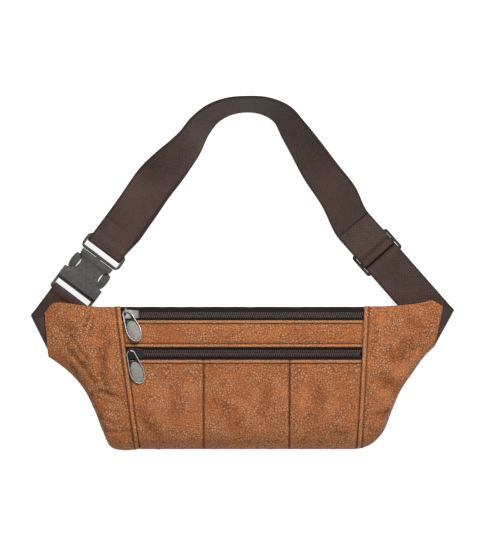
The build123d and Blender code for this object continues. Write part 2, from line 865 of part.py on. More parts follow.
# --- long strap, from the right wing through the adjuster, round the plug's bar and back ---
def arch_station(outer, inner, ahead):
    """Section of the doubled strap on its arch, leaning so its two edges stand where they should."""
    spread = inner - outer
    rise = sqrt(max(webbing_width**2 - spread.length**2, 0))
    inner_z = leg_z - (leg_z - arch_floor) * rise / webbing_width
    centre = (outer + inner) / 2 + Vector(0, 0, inner_z + rise / 2)
    lean = (spread - Vector(0, 0, rise)).normalized()
    face = ahead.cross(lean).normalized()
    return Plane(origin=centre, x_dir=lean, z_dir=lean.cross(face))


half_width = webbing_width / 2
arch_from = Vector(*glide_centre) + heading(leg_heading) * arch_start
arch_to = Vector(buckle_x, buckle_y) + heading(buckle_heading) * arch_end
from_edges = [arch_from - heading(leg_heading + 90) * side * half_width for side in (1, -1)]
to_edges = [arch_to + heading(buckle_heading + 90) * side * half_width for side in (1, -1)]
edge_lines = []
for side, first, last in zip((0, 1), from_edges, to_edges):
    with BuildLine() as edge_line:
        Spline(
            first,
            *[edge[2 * side:2 * side + 2] for edge in arch_edges],
            last,
            tangents=[heading(leg_heading), -heading(buckle_heading)],
        )
    edge_lines.append(edge_line.line)
outer_line, inner_line = edge_lines
shares = [place / arch_parts for place in range(arch_parts + 1)]
middles = [(outer_line @ share + inner_line @ share) / 2 for share in shares]
ways = [after - before for before, after in zip(middles[:-2], middles[2:])]
ways = [heading(leg_heading)] + ways + [-heading(buckle_heading)]

with BuildPart() as arch:
    for share, ahead in zip(shares, ways):
        with BuildSketch(arch_station(outer_line @ share, inner_line @ share, ahead)):
            Rectangle(webbing_width, doubled)
    loft()

wing_run = (Vector(*glide_centre) - Vector(*right_fold)).length
loop_end = [(arch_end, doubled / 2), (arch_end, -doubled / 2)]
loop_outline, loop_hole = bar_loop(plug_bar_at, plug_bar_width, loop_end)
along_leg = upright(glide_at.origin, leg_heading)
with BuildPart() as long_strap:
    add(strap_fold(right_fold, right_exit_heading, leg_heading, right_wing[-1]))
    add(strap_run(along_leg, band([(fold_leg - wing_run, 0), *strap_under])))
    add(strap_run(along_leg, band(strap_over)))
    add(arch.part)
    add(strap_run(upright(buckle_at.origin, buckle_heading), loop_outline, loop_hole))
finish(long_strap.part, "long_strap")
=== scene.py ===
"""Waist pack: the finish of its leather, zips, belt and buckle, made around the packed frame."""

import json
from math import cos, pi, radians, sin

import bmesh
import bpy
import numpy as np
from bpy.props import FloatProperty, FloatVectorProperty, PointerProperty
from mathutils import Matrix, Vector


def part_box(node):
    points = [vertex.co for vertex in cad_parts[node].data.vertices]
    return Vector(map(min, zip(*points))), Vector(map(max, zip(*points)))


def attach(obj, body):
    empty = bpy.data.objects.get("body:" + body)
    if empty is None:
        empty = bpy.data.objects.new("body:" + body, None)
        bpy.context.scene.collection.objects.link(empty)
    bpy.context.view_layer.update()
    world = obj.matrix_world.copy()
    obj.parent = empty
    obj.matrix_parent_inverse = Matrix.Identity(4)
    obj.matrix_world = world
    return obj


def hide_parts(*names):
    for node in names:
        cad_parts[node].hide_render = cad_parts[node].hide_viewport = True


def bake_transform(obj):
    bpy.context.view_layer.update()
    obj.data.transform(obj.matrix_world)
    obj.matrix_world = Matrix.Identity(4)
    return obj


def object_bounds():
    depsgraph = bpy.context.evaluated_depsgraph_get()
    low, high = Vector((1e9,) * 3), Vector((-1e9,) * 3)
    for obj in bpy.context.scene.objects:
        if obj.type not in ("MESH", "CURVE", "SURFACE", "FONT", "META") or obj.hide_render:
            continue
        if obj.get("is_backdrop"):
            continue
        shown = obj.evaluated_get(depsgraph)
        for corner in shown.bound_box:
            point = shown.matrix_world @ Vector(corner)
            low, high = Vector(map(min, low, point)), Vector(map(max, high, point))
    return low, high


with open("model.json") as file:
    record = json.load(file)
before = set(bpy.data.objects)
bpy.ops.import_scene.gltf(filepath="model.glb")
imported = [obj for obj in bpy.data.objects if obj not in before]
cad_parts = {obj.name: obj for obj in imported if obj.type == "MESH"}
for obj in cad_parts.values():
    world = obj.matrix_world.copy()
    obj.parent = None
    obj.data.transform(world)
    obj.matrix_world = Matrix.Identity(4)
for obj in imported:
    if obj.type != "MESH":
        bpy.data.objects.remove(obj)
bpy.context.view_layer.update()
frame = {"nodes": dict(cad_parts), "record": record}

bl_info = {
    "name": "Waist Pack",
    "version": (1, 0, 0),
    "blender": (4, 5, 0),
    "location": "3D View > Sidebar > Waist Pack",
    "description": "Dresses the frame of a leather waist pack",
    "category": "Object",
}

MM = 0.001
UP = np.array([0.0, 0.0, 1.0])

# --- outline of the pouch's section: (y, z) in mm from the lower edge seam to the upper one ------
DEPTH = 32.0
BOTTOM_Y = -66.0
TOP_Y = 66.5
FRONT_LINE = [
    (BOTTOM_Y, 8.5),
    (-62.4, DEPTH - 15.5),
    (-56.0, DEPTH - 8.6),
    (-42.0, DEPTH - 2.7),
    (-16.0, DEPTH),
    (17.8, DEPTH - 0.3),
    (29.4, DEPTH - 1.0),
    (54.5, DEPTH - 6.5),
    (65.4, DEPTH - 12.1),
    (TOP_Y, 12.5),
]
BACK_LINE = [
    (BOTTOM_Y, 8.5),
    (-60.68, 2.55),
    (-52.0, 0.0),
    (0.0, 0.0),
    (52.0, 0.0),
    (60.99, 3.75),
    (TOP_Y, 12.5),
]
POCKET_TOP, STRIP_LOW, STRIP_HIGH, TAPE_TOP = 5, 6, 7, 8

# --- panel seams: x in mm at the bottom edge and at the top edge ---------------------------------
LEFT_SEAM = (-96.2, -114.0)
RIGHT_SEAM = (106.0, 112.5)
POCKET_SEAMS = (-36.5, 43.0)

# --- wings, in mm: (x, y) of the lower edge and of the upper edge, rise, fullness -----------------
LEFT_WING = [
    (LEFT_SEAM[0], BOTTOM_Y, LEFT_SEAM[1], TOP_Y, 0.0, 1.0),
    (-112.0, -67.0, -124.0, 66.5, 0.03, 0.98),
    (-123.5, -63.5, -134.0, 66.5, 0.13, 0.90),
    (-130.5, -49.5, -142.0, 67.0, 0.42, 0.73),
    (-137.5, -31.0, -151.0, 68.0, 0.69, 0.55),
    (-148.0, -10.0, -161.0, 69.5, 0.82, 0.39),
    (-162.0, 6.0, -171.0, 70.5, 0.90, 0.20),
    (-174.0, 15.5, -178.5, 68.5, 0.97, 0.07),
    (-181.5, 20.5, -185.0, 60.5, 1.0, 0.0),
]
RIGHT_WING = [
    (RIGHT_SEAM[0], BOTTOM_Y, RIGHT_SEAM[1], TOP_Y, 0.0, 1.0),
    (114.0, -64.0, 121.0, 67.0, 0.03, 0.96),
    (122.5, -59.0, 130.5, 67.0, 0.16, 0.86),
    (131.0, -49.0, 139.5, 67.5, 0.35, 0.73),
    (138.0, -31.5, 148.5, 68.0, 0.56, 0.57),
    (146.5, -11.5, 157.5, 69.0, 0.75, 0.42),
    (158.0, 5.5, 167.0, 70.5, 0.89, 0.24),
    (170.0, 22.0, 177.5, 72.0, 0.97, 0.07),
    (178.0, 29.5, 186.3, 66.8, 1.0, 0.0),
]
WING_END_THICK = 6.2
WING_STRAP_Z = 14.6

# --- creases and soft hollows pressed into the leather: points in mm, width, depth ----------------
LEFT_CREASES = [
    ([(-168, 35), (-155, 20), (-141, 4), (-135.5, -8)], 2.2, 0.75),
    ([(-160, 38), (-148, 22), (-136, 4)], 2.0, 0.45),
    ([(-171, 22), (-158, 10), (-147, -3)], 2.0, 0.4),
    ([(-144, -17), (-134.2, -9.7), (-123.7, -14.2), (-113, -17)], 1.7, 0.8),
    ([(-141, 61), (-146, 50), (-150, 43)], 1.5, 0.5),
    ([(-136.5, 61), (-140.7, 48), (-142, 42)], 1.4, 0.45),
    ([(-134, -27), (-121, -30), (-107, -29)], 1.5, 0.4),
    ([(-132, -36), (-120, -41), (-109, -38)], 1.5, 0.35),
    ([(-129, -46), (-116, -49), (-106, -46)], 1.5, 0.3),
    ([(-128, 48), (-130, 10), (-127, -20)], 4.5, 0.9),
    ([(-165, 52), (-158, 44), (-160, 30)], 4.5, 0.6),
]
RIGHT_CREASES = [
    ([(130, 26), (146, 20), (156, 36)], 6.0, 1.2),
    ([(124, 3), (136, -4), (146, -10)], 5.5, 1.1),
    ([(121, -36), (129, -30), (134, -38)], 4.0, 0.7),
    ([(118, 58), (122, 40), (120, 20)], 4.5, 0.6),
    ([(150, 60), (158, 50), (168, 44)], 5.0, 0.6),
]
POCKET_CREASES = [
    ([(-100, -27), (-86, -44), (-72, -58)], 6.0, 0.9),
    ([(-60, 6), (-62, -18), (-58, -42)], 6.5, 0.6),
    ([(-22, -22), (-8, -38), (4, -56)], 7.0, 0.6),
    ([(18, 8), (24, -14), (20, -34)], 6.0, 0.5),
    ([(66, 2), (72, -20), (64, -40)], 6.0, 0.6),
    ([(80, -46), (92, -54), (102, -50)], 5.0, 0.8),
]


# === numbers and outlines =========================================================================
def unit(vectors):
    """The vectors at length one."""
    return vectors / np.linalg.norm(vectors, axis=-1, keepdims=True)


def heading(angle):
    """Unit vector at this heading, in degrees, in the XY plane."""
    return np.array([cos(radians(angle)), sin(radians(angle)), 0.0])


def cubic(first, last, way_first, way_last, share):
    """Points on the cubic between two ends, with its slopes at them."""
    share = share[:, None]
    return (
        (2 * share**3 - 3 * share**2 + 1) * first
        + (share**3 - 2 * share**2 + share) * way_first
        + (3 * share**2 - 2 * share**3) * last
        + (share**3 - share**2) * way_last
    )


def through(knots, values, at):
    """Smooth values between the ones given at the knots."""
    knots = np.asarray(knots, float)
    values = np.asarray(values, float)
    slopes = np.gradient(values, knots, axis=0)
    place = np.clip(np.searchsorted(knots, at, side="right") - 1, 0, len(knots) - 2)
    step = (knots[place + 1] - knots[place])[:, None]
    share = (at - knots[place]) / step[:, 0]
    return cubic(
        values[place], values[place + 1], slopes[place] * step, slopes[place + 1] * step, share
    )


def lengths_along(line):
    """Length from the start of a line of points to each of them."""
    steps = np.linalg.norm(np.diff(line, axis=0), axis=1)
    return np.concatenate([[0.0], np.cumsum(steps)])


def even_line(line, step):
    """The line with its points a step apart."""
    lengths = lengths_along(line)
    at = np.linspace(0, lengths[-1], max(int(round(lengths[-1] / step)), 1) + 1)
    return np.stack([np.interp(at, lengths, column) for column in np.asarray(line).T], axis=1)


def rounded_route(points, step, softness):
    """A bent route with its corners eased, its two ends kept."""
    line = even_line(np.asarray(points, float), step)
    reach = int(3 * softness / step)
    weights = np.exp(-0.5 * (np.arange(-reach, reach + 1) * step / softness) ** 2)
    before = 2 * line[0] - line[1:reach + 1][::-1]
    after = 2 * line[-1] - line[-reach - 1:-1][::-1]
    padded = np.concatenate([before, line, after])
    return np.stack(
        [np.convolve(column, weights / weights.sum(), mode="valid") for column in padded.T], axis=1
    )


def ease(value, low, high):
    """From 0 at low to 1 at high, smoothly."""
    share = np.clip((value - low) / (high - low), 0, 1)
    return share * share * (3 - 2 * share)


def hump(value, centre, width):
    """A smooth hump of height one."""
    return np.exp(-(((value - centre) / width) ** 2))


def ripples(x, y, size, seed, waves=14):
    """A field of soft random ripples about one high, with this distance between them."""
    draw = np.random.default_rng(seed)
    turn = draw.uniform(0, 2 * pi, waves)
    rate = 2 * pi / size * draw.uniform(0.6, 1.4, waves)
    start = draw.uniform(0, 2 * pi, waves)
    total = 0
    for angle, pace, phase in zip(turn, rate, start):
        total = total + np.cos(pace * (x * cos(angle) + y * sin(angle)) + phase)
    return total * (2 / waves) ** 0.5


def creases(x, y, lines):
    """Depth of the creases pressed into a surface, and their darkness, below nought on lips."""
    depth = np.zeros_like(x)
    dark = np.zeros_like(x)
    pale = np.zeros_like(x)
    for points, width, deepest in lines:
        route = even_line(rounded_route(np.array(points, float), 1.0, 4.0), 3.0)
        wander = 0.7 * ripples(x, y, 9 * MM, len(dark) + int(width * 10)) * width * MM * 0.35
        away = np.full(x.shape, np.inf)
        share = np.zeros_like(x)
        for place, (px, py) in enumerate(route * MM):
            near = np.hypot(x - px, y - py)
            share = np.where(near < away, place / (len(route) - 1), share)
            away = np.minimum(away, near)
        away = np.abs(away + wander)
        strength = np.sin(pi * np.clip(0.08 + 0.84 * share, 0, 1))
        pressed = np.exp(-((away / (width * MM)) ** 2)) * strength
        lips = np.exp(-(((away - 2.1 * width * MM) / (width * MM)) ** 2)) * strength
        depth += (0.35 * lips - pressed) * deepest * MM
        # painted shade along each crease's floor; pale is the painted highlight on its lips
        dark = np.maximum(dark, pressed * min(deepest / width * 2.6, 1.0))
        pale = np.maximum(pale, lips)
    return depth, dark - 0.3 * pale


class Section:
    """One face of the pouch's section, by the length along it from the lower edge seam."""

    def __init__(self, points, first_way, last_way, flats):
        points = np.array(points) * MM
        ways = np.zeros_like(points)
        ways[1:-1] = unit(points[2:] - points[:-2])
        ways[0] = unit(np.array(first_way, float))
        ways[-1] = unit(np.array(last_way, float))
        for place in flats:
            ways[place:place + 2] = unit(points[place + 1] - points[place])
        parts = []
        corners = [0]
        for place in range(len(points) - 1):
            span = np.linalg.norm(points[place + 1] - points[place])
            share = np.linspace(0, 1, 40, endpoint=False)
            parts.append(
                cubic(
                    points[place], points[place + 1], ways[place] * span,
                    ways[place + 1] * span, share,
                )
            )
            corners.append(corners[-1] + len(share))
        parts.append(points[-1:])
        self.line = np.concatenate(parts)
        self.lengths = lengths_along(self.line)
        self.corner = [self.lengths[place] for place in corners]

    def at(self, length):
        """(y, z) at these lengths."""
        return np.stack([np.interp(length, self.lengths, column) for column in self.line.T], -1)


FRONT = Section(FRONT_LINE, (0.05, 1), (-0.1, -1), (POCKET_TOP, STRIP_HIGH))
BACK = Section(BACK_LINE, (-0.05, -1), (0.1, 1), (2, 3))


def seam_x(seam, y):
    """Where a panel seam stands, in metres, at this y in metres."""
    return (seam[0] + (seam[1] - seam[0]) * (y / MM - BOTTOM_Y) / (TOP_Y - BOTTOM_Y)) * MM


def normals_of(grid, outwards):
    """Normals of a grid of surface points, on the side that faces outwards."""
    across = np.cross(np.gradient(grid, axis=0), np.gradient(grid, axis=1))
    normals = unit(across)
    if np.sum(normals * outwards) < 0:
        normals = -normals
    return normals


# === meshes =======================================================================================
def piece_from(name, vertices, faces, material):
    """A new object in the scene, shaded smooth, with its faces pointing outwards."""
    mesh = bpy.data.meshes.new(name)
    mesh.from_pydata(np.asarray(vertices).tolist(), [], np.asarray(faces).tolist())
    shape = bmesh.new()
    shape.from_mesh(mesh)
    bmesh.ops.recalc_face_normals(shape, faces=shape.faces)
    shape.to_mesh(mesh)
    shape.free()
    mesh.shade_smooth()
    mesh.materials.append(material)
    piece = bpy.data.objects.new(name, mesh)
    bpy.context.scene.collection.objects.link(piece)
    return piece


def quads(ids):
    """Faces between the neighbours of a grid of vertex numbers."""
    return np.stack([ids[:-1, :-1], ids[1:, :-1], ids[1:, 1:], ids[:-1, 1:]], -1).reshape(-1, 4)


def slab(grid, normals, thickness, flat, painted_shading, rim=5):
    """Vertices, faces, flat places and marks of a sheet under a grid, with rounded edges."""
    rows, columns = grid.shape[:2]
    size = rows * columns
    top = np.arange(size).reshape(rows, columns)
    around = np.concatenate(
        [top[0, :-1], top[:-1, -1], top[-1, :0:-1], top[:0:-1, 0]]
    )
    out = np.zeros_like(grid)
    out[0] += unit(grid[0] - grid[1])
    out[-1] += unit(grid[-1] - grid[-2])
    out[:, 0] += unit(grid[:, 0] - grid[:, 1])
    out[:, -1] += unit(grid[:, -1] - grid[:, -2])
    edge_out = unit(out.reshape(-1, 3)[around])
    edge = grid.reshape(-1, 3)[around]
    edge_up = normals.reshape(-1, 3)[around]
    vertices = [grid.reshape(-1, 3), (grid - normals * thickness).reshape(-1, 3)]
    places = [flat.reshape(-1, 2), flat.reshape(-1, 2)]
    painted_shades = [painted_shading.reshape(-1), painted_shading.reshape(-1) * 0]
    rings = [around]
    for place in range(1, rim):
        turn = pi * place / rim
        vertices.append(
            edge + (edge_out * sin(turn) - edge_up * (1 - cos(turn))) * (thickness / 2)
        )
        places.append(flat.reshape(-1, 2)[around])
        painted_shades.append(painted_shading.reshape(-1)[around])
        rings.append(2 * size + (place - 1) * len(around) + np.arange(len(around)))
    rings.append(around + size)
    belts = np.array([np.append(ring, ring[0]) for ring in rings])
    faces = np.concatenate([quads(top), quads(top + size), quads(belts)])
    return np.concatenate(vertices), faces, np.concatenate(places), np.concatenate(painted_shades)


def sheet_piece(name, sheets, thickness, material):
    """One object of one or more slabs; each is (grid, normals, flat places, marks)."""
    vertices, faces, places, painted_shades = [], [], [], []
    count = 0
    for grid, normals, flat, painted_shading in sheets:
        part = slab(grid, normals, thickness, flat, painted_shading)
        vertices.append(part[0])
        faces.append(part[1] + count)
        places.append(part[2])
        painted_shades.append(part[3])
        count += len(part[0])
    piece = piece_from(name, np.concatenate(vertices), np.concatenate(faces), material)
    mesh = piece.data
    corners = np.zeros(len(mesh.loops), int)
    mesh.loops.foreach_get("vertex_index", corners)
    layer = mesh.uv_layers.new(name="Surface")
    layer.uv.foreach_set("vector", np.concatenate(places)[corners].astype(np.float32).ravel())
    # the fold attribute carries the painted shading: painted shade above nought, painted highlight
    # below
    fold = mesh.attributes.new("fold", "FLOAT", "POINT")
    fold.data.foreach_set("value", np.concatenate(painted_shades).astype(np.float32))
    return piece


def evaluated(piece):
    """Put the result of a piece's modifiers in the piece itself."""
    bpy.context.view_layer.update()
    graph = bpy.context.evaluated_depsgraph_get()
    mesh = bpy.data.meshes.new_from_object(piece.evaluated_get(graph))
    piece.modifiers.clear()
    piece.data = mesh
    mesh.name = piece.name
    return piece


def body_of(node):
    """The body that a node of the frame moves with."""
    bodies = frame["record"]["behaviour"]["bodies"]
    return next(body for body, members in bodies.items() if node in members)


def settle(piece, slot, *nodes):
    """Let a finished piece ride on its nodes' body, take its slot and stand for them."""
    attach(piece, body_of(nodes[0]))
    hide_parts(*nodes)


# === materials ====================================================================================
class Graph:
    """Short hand for building a node tree."""

    def __init__(self, tree):
        self.tree = tree

    def node(self, kind, inputs=None, **settings):
        """A new node; each input is a value or a socket to link from."""
        made = self.tree.nodes.new(kind)
        for name, value in settings.items():
            setattr(made, name, value)
        for name, value in (inputs or {}).items():
            if isinstance(value, bpy.types.NodeSocket):
                self.tree.links.new(value, made.inputs[name])
            else:
                made.inputs[name].default_value = value
        return made

    def math(self, operation, first, second=0.0):
        """One sum."""
        return self.node("ShaderNodeMath", {0: first, 1: second}, operation=operation).outputs[0]

    def spread(self, value, low, high, to_low=0.0, to_high=1.0):
        """A value mapped from one range to another, clamped."""
        inputs = {"Value": value, "From Min": low, "From Max": high}
        inputs |= {"To Min": to_low, "To Max": to_high}
        return self.node("ShaderNodeMapRange", inputs).outputs["Result"]

    def blend(self, share, first, second, kind="MIX"):
        """Two colours mixed."""
        made = self.node("ShaderNodeMix", data_type="RGBA", blend_type=kind)
        for place, value in ((0, share), (6, first), (7, second)):
            if isinstance(value, bpy.types.NodeSocket):
                self.tree.links.new(value, made.inputs[place])
            else:
                made.inputs[place].default_value = value
        return made.outputs[2]


def shader_group(name, inputs, outputs, build):
    """A shader node group with named inputs and outputs, built once."""
    tree = bpy.data.node_groups.new(name, "ShaderNodeTree")
    for label, kind, default in inputs:
        socket = tree.interface.new_socket(name=label, in_out="INPUT", socket_type=kind)
        if default is not None:
            socket.default_value = default
    for label, kind in outputs:
        tree.interface.new_socket(name=label, in_out="OUTPUT", socket_type=kind)
    graph = Graph(tree)
    entry = graph.node("NodeGroupInput").outputs
    results = build(graph, entry)
    leave = graph.node("NodeGroupOutput")
    for label, value in results.items():
        tree.links.new(value, leave.inputs[label])
    return tree


def build_grain(graph, entry):
    """Pebbles of grain leather: rounded cells of uneven size with fine creases between."""
    bend = graph.node(
        "ShaderNodeTexNoise", {"Vector": entry["Place"], "Scale": 260.0, "Detail": 2.0}
    )
    shift = graph.node(
        "ShaderNodeVectorMath", {0: bend.outputs["Color"], 1: (0.5, 0.5, 0.5)},
        operation="SUBTRACT",
    )
    push = graph.node(
        "ShaderNodeVectorMath", {0: shift.outputs[0], "Scale": entry["Wander"]}, operation="SCALE"
    )
    place = graph.node(
        "ShaderNodeVectorMath", {0: entry["Place"], 1: push.outputs[0]}, operation="ADD"
    ).outputs[0]
    heights = []
    for share in (1.0, 2.1):
        scale = graph.math("MULTIPLY", graph.math("DIVIDE", 1.0, entry["Cell"]), share)
        cell = graph.node(
            "ShaderNodeTexVoronoi", {"Vector": place, "Scale": scale, "Randomness": 1.0},
            feature="DISTANCE_TO_EDGE",
        )
        heights.append(graph.spread(cell.outputs["Distance"], 0.0, 0.32))
    pebbles = graph.math("SQRT", heights[0])
    small = graph.math("MULTIPLY", graph.math("SQRT", heights[1]), 0.45)
    fine = graph.node(
        "ShaderNodeTexNoise", {"Vector": entry["Place"], "Scale": 2600.0, "Detail": 3.0}
    )
    dust = graph.math("MULTIPLY", fine.outputs["Fac"], 0.25)
    height = graph.math("ADD", graph.math("ADD", pebbles, small), dust)
    crevice = graph.math("SUBTRACT", 1.0, heights[0])
    return {"Height": height, "Crevice": crevice}


def build_weave(graph, entry):
    """Ribs of woven webbing: yarns along and across, each round on its top."""
    parts = graph.node("ShaderNodeSeparateXYZ", {0: entry["Place"]}).outputs
    along = graph.math("DIVIDE", parts["X"], entry["Pick"])
    across = graph.math("DIVIDE", parts["Y"], entry["Yarn"])
    row = graph.math("FLOOR", across)
    step = graph.math("MULTIPLY", graph.math("PINGPONG", row, entry["Turn"]), entry["Twill"])
    pick = graph.math("ABSOLUTE", graph.math("SINE", graph.math(
        "MULTIPLY", graph.math("ADD", along, step), pi
    )))
    yarn = graph.math("ABSOLUTE", graph.math("SINE", graph.math("MULTIPLY", across, pi)))
    height = graph.math("MULTIPLY", graph.math("POWER", pick, 0.6), graph.math("POWER", yarn, 0.5))
    return {"Height": height, "Gap": graph.math("SUBTRACT", 1.0, height)}


def build_cloud(graph, entry):
    """Soft uneven patches, from 0 to 1."""
    rate = graph.math("DIVIDE", 1.0, entry["Size"])
    noise = graph.node(
        "ShaderNodeTexNoise",
        {"Vector": entry["Place"], "Scale": rate, "Detail": entry["Detail"], "Roughness": 0.55},
    )
    return {"Value": graph.spread(noise.outputs["Fac"], 0.3, 0.7)}


def build_sharp_edges(graph, entry):
    """A mask of the sharp outer edges, where handling rubs a finish."""
    point = graph.node("ShaderNodeNewGeometry").outputs["Pointiness"]
    noise = graph.node("ShaderNodeTexNoise", {"Vector": entry["Place"], "Scale": 400.0})
    edge = graph.spread(point, 0.5, entry["Edge"])
    return {"Mask": graph.math("MULTIPLY", edge, graph.spread(noise.outputs["Fac"], 0.3, 0.6))}


def shader_groups():
    """Build the effects that several materials share."""
    vector, number = "NodeSocketVector", "NodeSocketFloat"
    return {
        "grain": shader_group(
            "Pebble grain",
            [("Place", vector, None), ("Cell", number, 0.002), ("Wander", number, 0.001)],
            [("Height", number), ("Crevice", number)], build_grain,
        ),
        "weave": shader_group(
            "Woven ribs",
            [
                ("Place", vector, None), ("Pick", number, 0.001), ("Yarn", number, 0.0008),
                ("Turn", number, 4.0), ("Twill", number, 0.5),
            ],
            [("Height", number), ("Gap", number)], build_weave,
        ),
        "cloud": shader_group(
            "Uneven patches",
            [("Place", vector, None), ("Size", number, 0.05), ("Detail", number, 2.0)],
            [("Value", number)], build_cloud,
        ),
        "sharp_edges": shader_group(
            "Rubbed edges",
            [("Place", vector, None), ("Edge", number, 0.56)],
            [("Mask", number)], build_sharp_edges,
        ),
    }


def tone(colour, brighter=1.0):
    """A colour with its alpha, made brighter or darker."""
    return (*[min(part * brighter, 1.0) for part in colour[:3]], 1.0)


class Finish:
    """A material being built: its graph, its Principled shader and the object's coordinates."""

    def __init__(self, name, groups, flat=False, **sockets):
        self.material = bpy.data.materials.new(name)
        self.material.use_nodes = True
        tree = self.material.node_tree
        tree.nodes.clear()
        self.groups = groups
        self.graph = Graph(tree)
        self.shader = self.graph.node("ShaderNodeBsdfPrincipled", sockets)
        out = self.graph.node("ShaderNodeOutputMaterial")
        tree.links.new(self.shader.outputs[0], out.inputs["Surface"])
        source = self.graph.node("ShaderNodeTexCoord").outputs
        self.place = source["Object"]
        self.flat = source["UV"] if flat else None

    def group(self, name, **inputs):
        """Place one of the shared groups."""
        made = self.graph.node("ShaderNodeGroup", node_tree=self.groups[name])
        for label, value in inputs.items():
            if isinstance(value, bpy.types.NodeSocket):
                self.graph.tree.links.new(value, made.inputs[label])
            else:
                made.inputs[label].default_value = value
        return made.outputs

    def feed(self, **sockets):
        """Link values that change over the surface to the shader."""
        for label, value in sockets.items():
            self.graph.tree.links.new(value, self.shader.inputs[label.replace("_", " ")])

    def bump(self, height, deep, normal=None, strength=1.0):
        """Surface normal with this height pressed into it."""
        inputs = {"Height": height, "Distance": deep, "Strength": strength}
        if normal is not None:
            inputs["Normal"] = normal
        return self.graph.node("ShaderNodeBump", inputs).outputs["Normal"]


def leather_finish(groups, colours):
    """Pebble-grained tan leather, darker in its creases and paler along its turned edges."""
    skin = Finish("Leather", groups, Roughness=0.5)
    skin.shader.inputs["Specular IOR Level"].default_value = 0.16
    graph = skin.graph
    grain = skin.group("grain", Place=skin.place, Cell=2.3 * MM, Wander=1.3 * MM)
    broad = skin.group("cloud", Place=skin.place, Size=34 * MM, Detail=2.5)["Value"]
    small = skin.group("cloud", Place=skin.place, Size=12 * MM, Detail=2.5)["Value"]
    fold = graph.node("ShaderNodeAttribute", attribute_name="fold").outputs["Fac"]
    tan = graph.blend(broad, tone(colours.leather_deep), tone(colours.leather))
    tan = graph.blend(graph.spread(small, 0.15, 1.0, 0.0, 0.7), tan, tone(colours.leather_pale))
    grained = graph.spread(small, 0.0, 0.6, 0.6, 1.0)
    # painted shade in the grain's crevices, where the pebbles' tops stay lighter
    crevice = graph.math("MULTIPLY", graph.spread(grain["Crevice"], 0.35, 0.95, 0.0, 0.9), grained)
    tan = graph.blend(crevice, tan, tone(colours.leather_deep, 0.5))
    # the fold attribute holds painted shading: below nought a painted highlight on turned edges, ribs
    # and crease lips, above nought painted shade in creases, seams and stitch grooves
    tan = graph.blend(graph.spread(fold, 0.0, -1.0, 0.0, 0.7), tan, tone(colours.leather_pale))
    tan = graph.blend(graph.spread(fold, 0.0, 1.0, 0.0, 0.9), tan, tone(colours.leather_deep, 0.26))
    wrinkle = graph.node(
        "ShaderNodeTexNoise",
        {"Vector": skin.place, "Scale": 110.0, "Detail": 4.0, "Distortion": 1.6},
    ).outputs["Fac"]
    soft = skin.bump(wrinkle, 3.2 * MM, strength=0.55)
    height = graph.math("MULTIPLY", grain["Height"], grained)
    skin.feed(
        Base_Color=tan,
        Roughness=graph.spread(grain["Crevice"], 0.2, 1.0, 0.46, 0.7),
        Normal=skin.bump(height, 1.1 * MM, soft),
    )
    return skin.material


def webbing_finish(groups, colours):
    """Close-woven nylon webbing, with finer, darker edges."""
    cloth = Finish("Webbing", groups, flat=True, Roughness=0.62)
    cloth.shader.inputs["Specular IOR Level"].default_value = 0.3
    cloth.shader.inputs["Sheen Weight"].default_value = 0.08
    cloth.shader.inputs["Sheen Roughness"].default_value = 0.4
    graph = cloth.graph
    weave = cloth.group(
        "weave", Place=cloth.flat, Pick=2.0 * MM, Yarn=1.0 * MM, Turn=3.0, Twill=0.5
    )
    patch = cloth.group("cloud", Place=cloth.place, Size=38 * MM, Detail=3.0)["Value"]
    speck = cloth.group("cloud", Place=cloth.place, Size=3 * MM, Detail=3.0)["Value"]
    across = graph.node("ShaderNodeSeparateXYZ", {0: cloth.flat}).outputs["Y"]
    edge = graph.spread(graph.math("ABSOLUTE", across), 15.6 * MM, 17.4 * MM)
    colour = graph.blend(patch, tone(colours.webbing, 0.55), tone(colours.webbing, 1.45))
    colour = graph.blend(graph.spread(speck, 0, 1, 0, 0.5), colour, tone(colours.webbing, 1.5))
    # painted shade in the gaps between the yarns
    colour = graph.blend(
        graph.spread(weave["Gap"], 0.1, 1.0, 0.0, 0.95), colour, tone(colours.webbing, 0.2)
    )
    # painted shade along the webbing's rounded edges
    colour = graph.blend(graph.spread(edge, 0, 1, 0, 0.8), colour, tone(colours.webbing, 0.25))
    cloth.feed(
        Base_Color=colour,
        Roughness=graph.spread(weave["Gap"], 0.0, 1.0, 0.55, 0.85),
        Normal=cloth.bump(weave["Height"], 0.3 * MM),
    )
    return cloth.material


def ribbon_finish(name, groups, colour, pick, yarn):
    """Tape or lining cloth: a fine plain weave."""
    cloth = Finish(name, groups, flat=True, Roughness=0.8)
    cloth.shader.inputs["Specular IOR Level"].default_value = 0.2
    graph = cloth.graph
    weave = cloth.group("weave", Place=cloth.flat, Pick=pick, Yarn=yarn, Turn=1.0, Twill=0.5)
    patch = cloth.group("cloud", Place=cloth.place, Size=20 * MM, Detail=2.0)["Value"]
    shade = graph.blend(patch, tone(colour, 0.85), tone(colour, 1.15))
    # painted shade in the gaps between the yarns
    shade = graph.blend(graph.spread(weave["Gap"], 0.1, 1, 0, 0.7), shade, tone(colour, 0.45))
    cloth.feed(Base_Color=shade, Normal=cloth.bump(weave["Height"], 0.12 * MM))
    return cloth.material


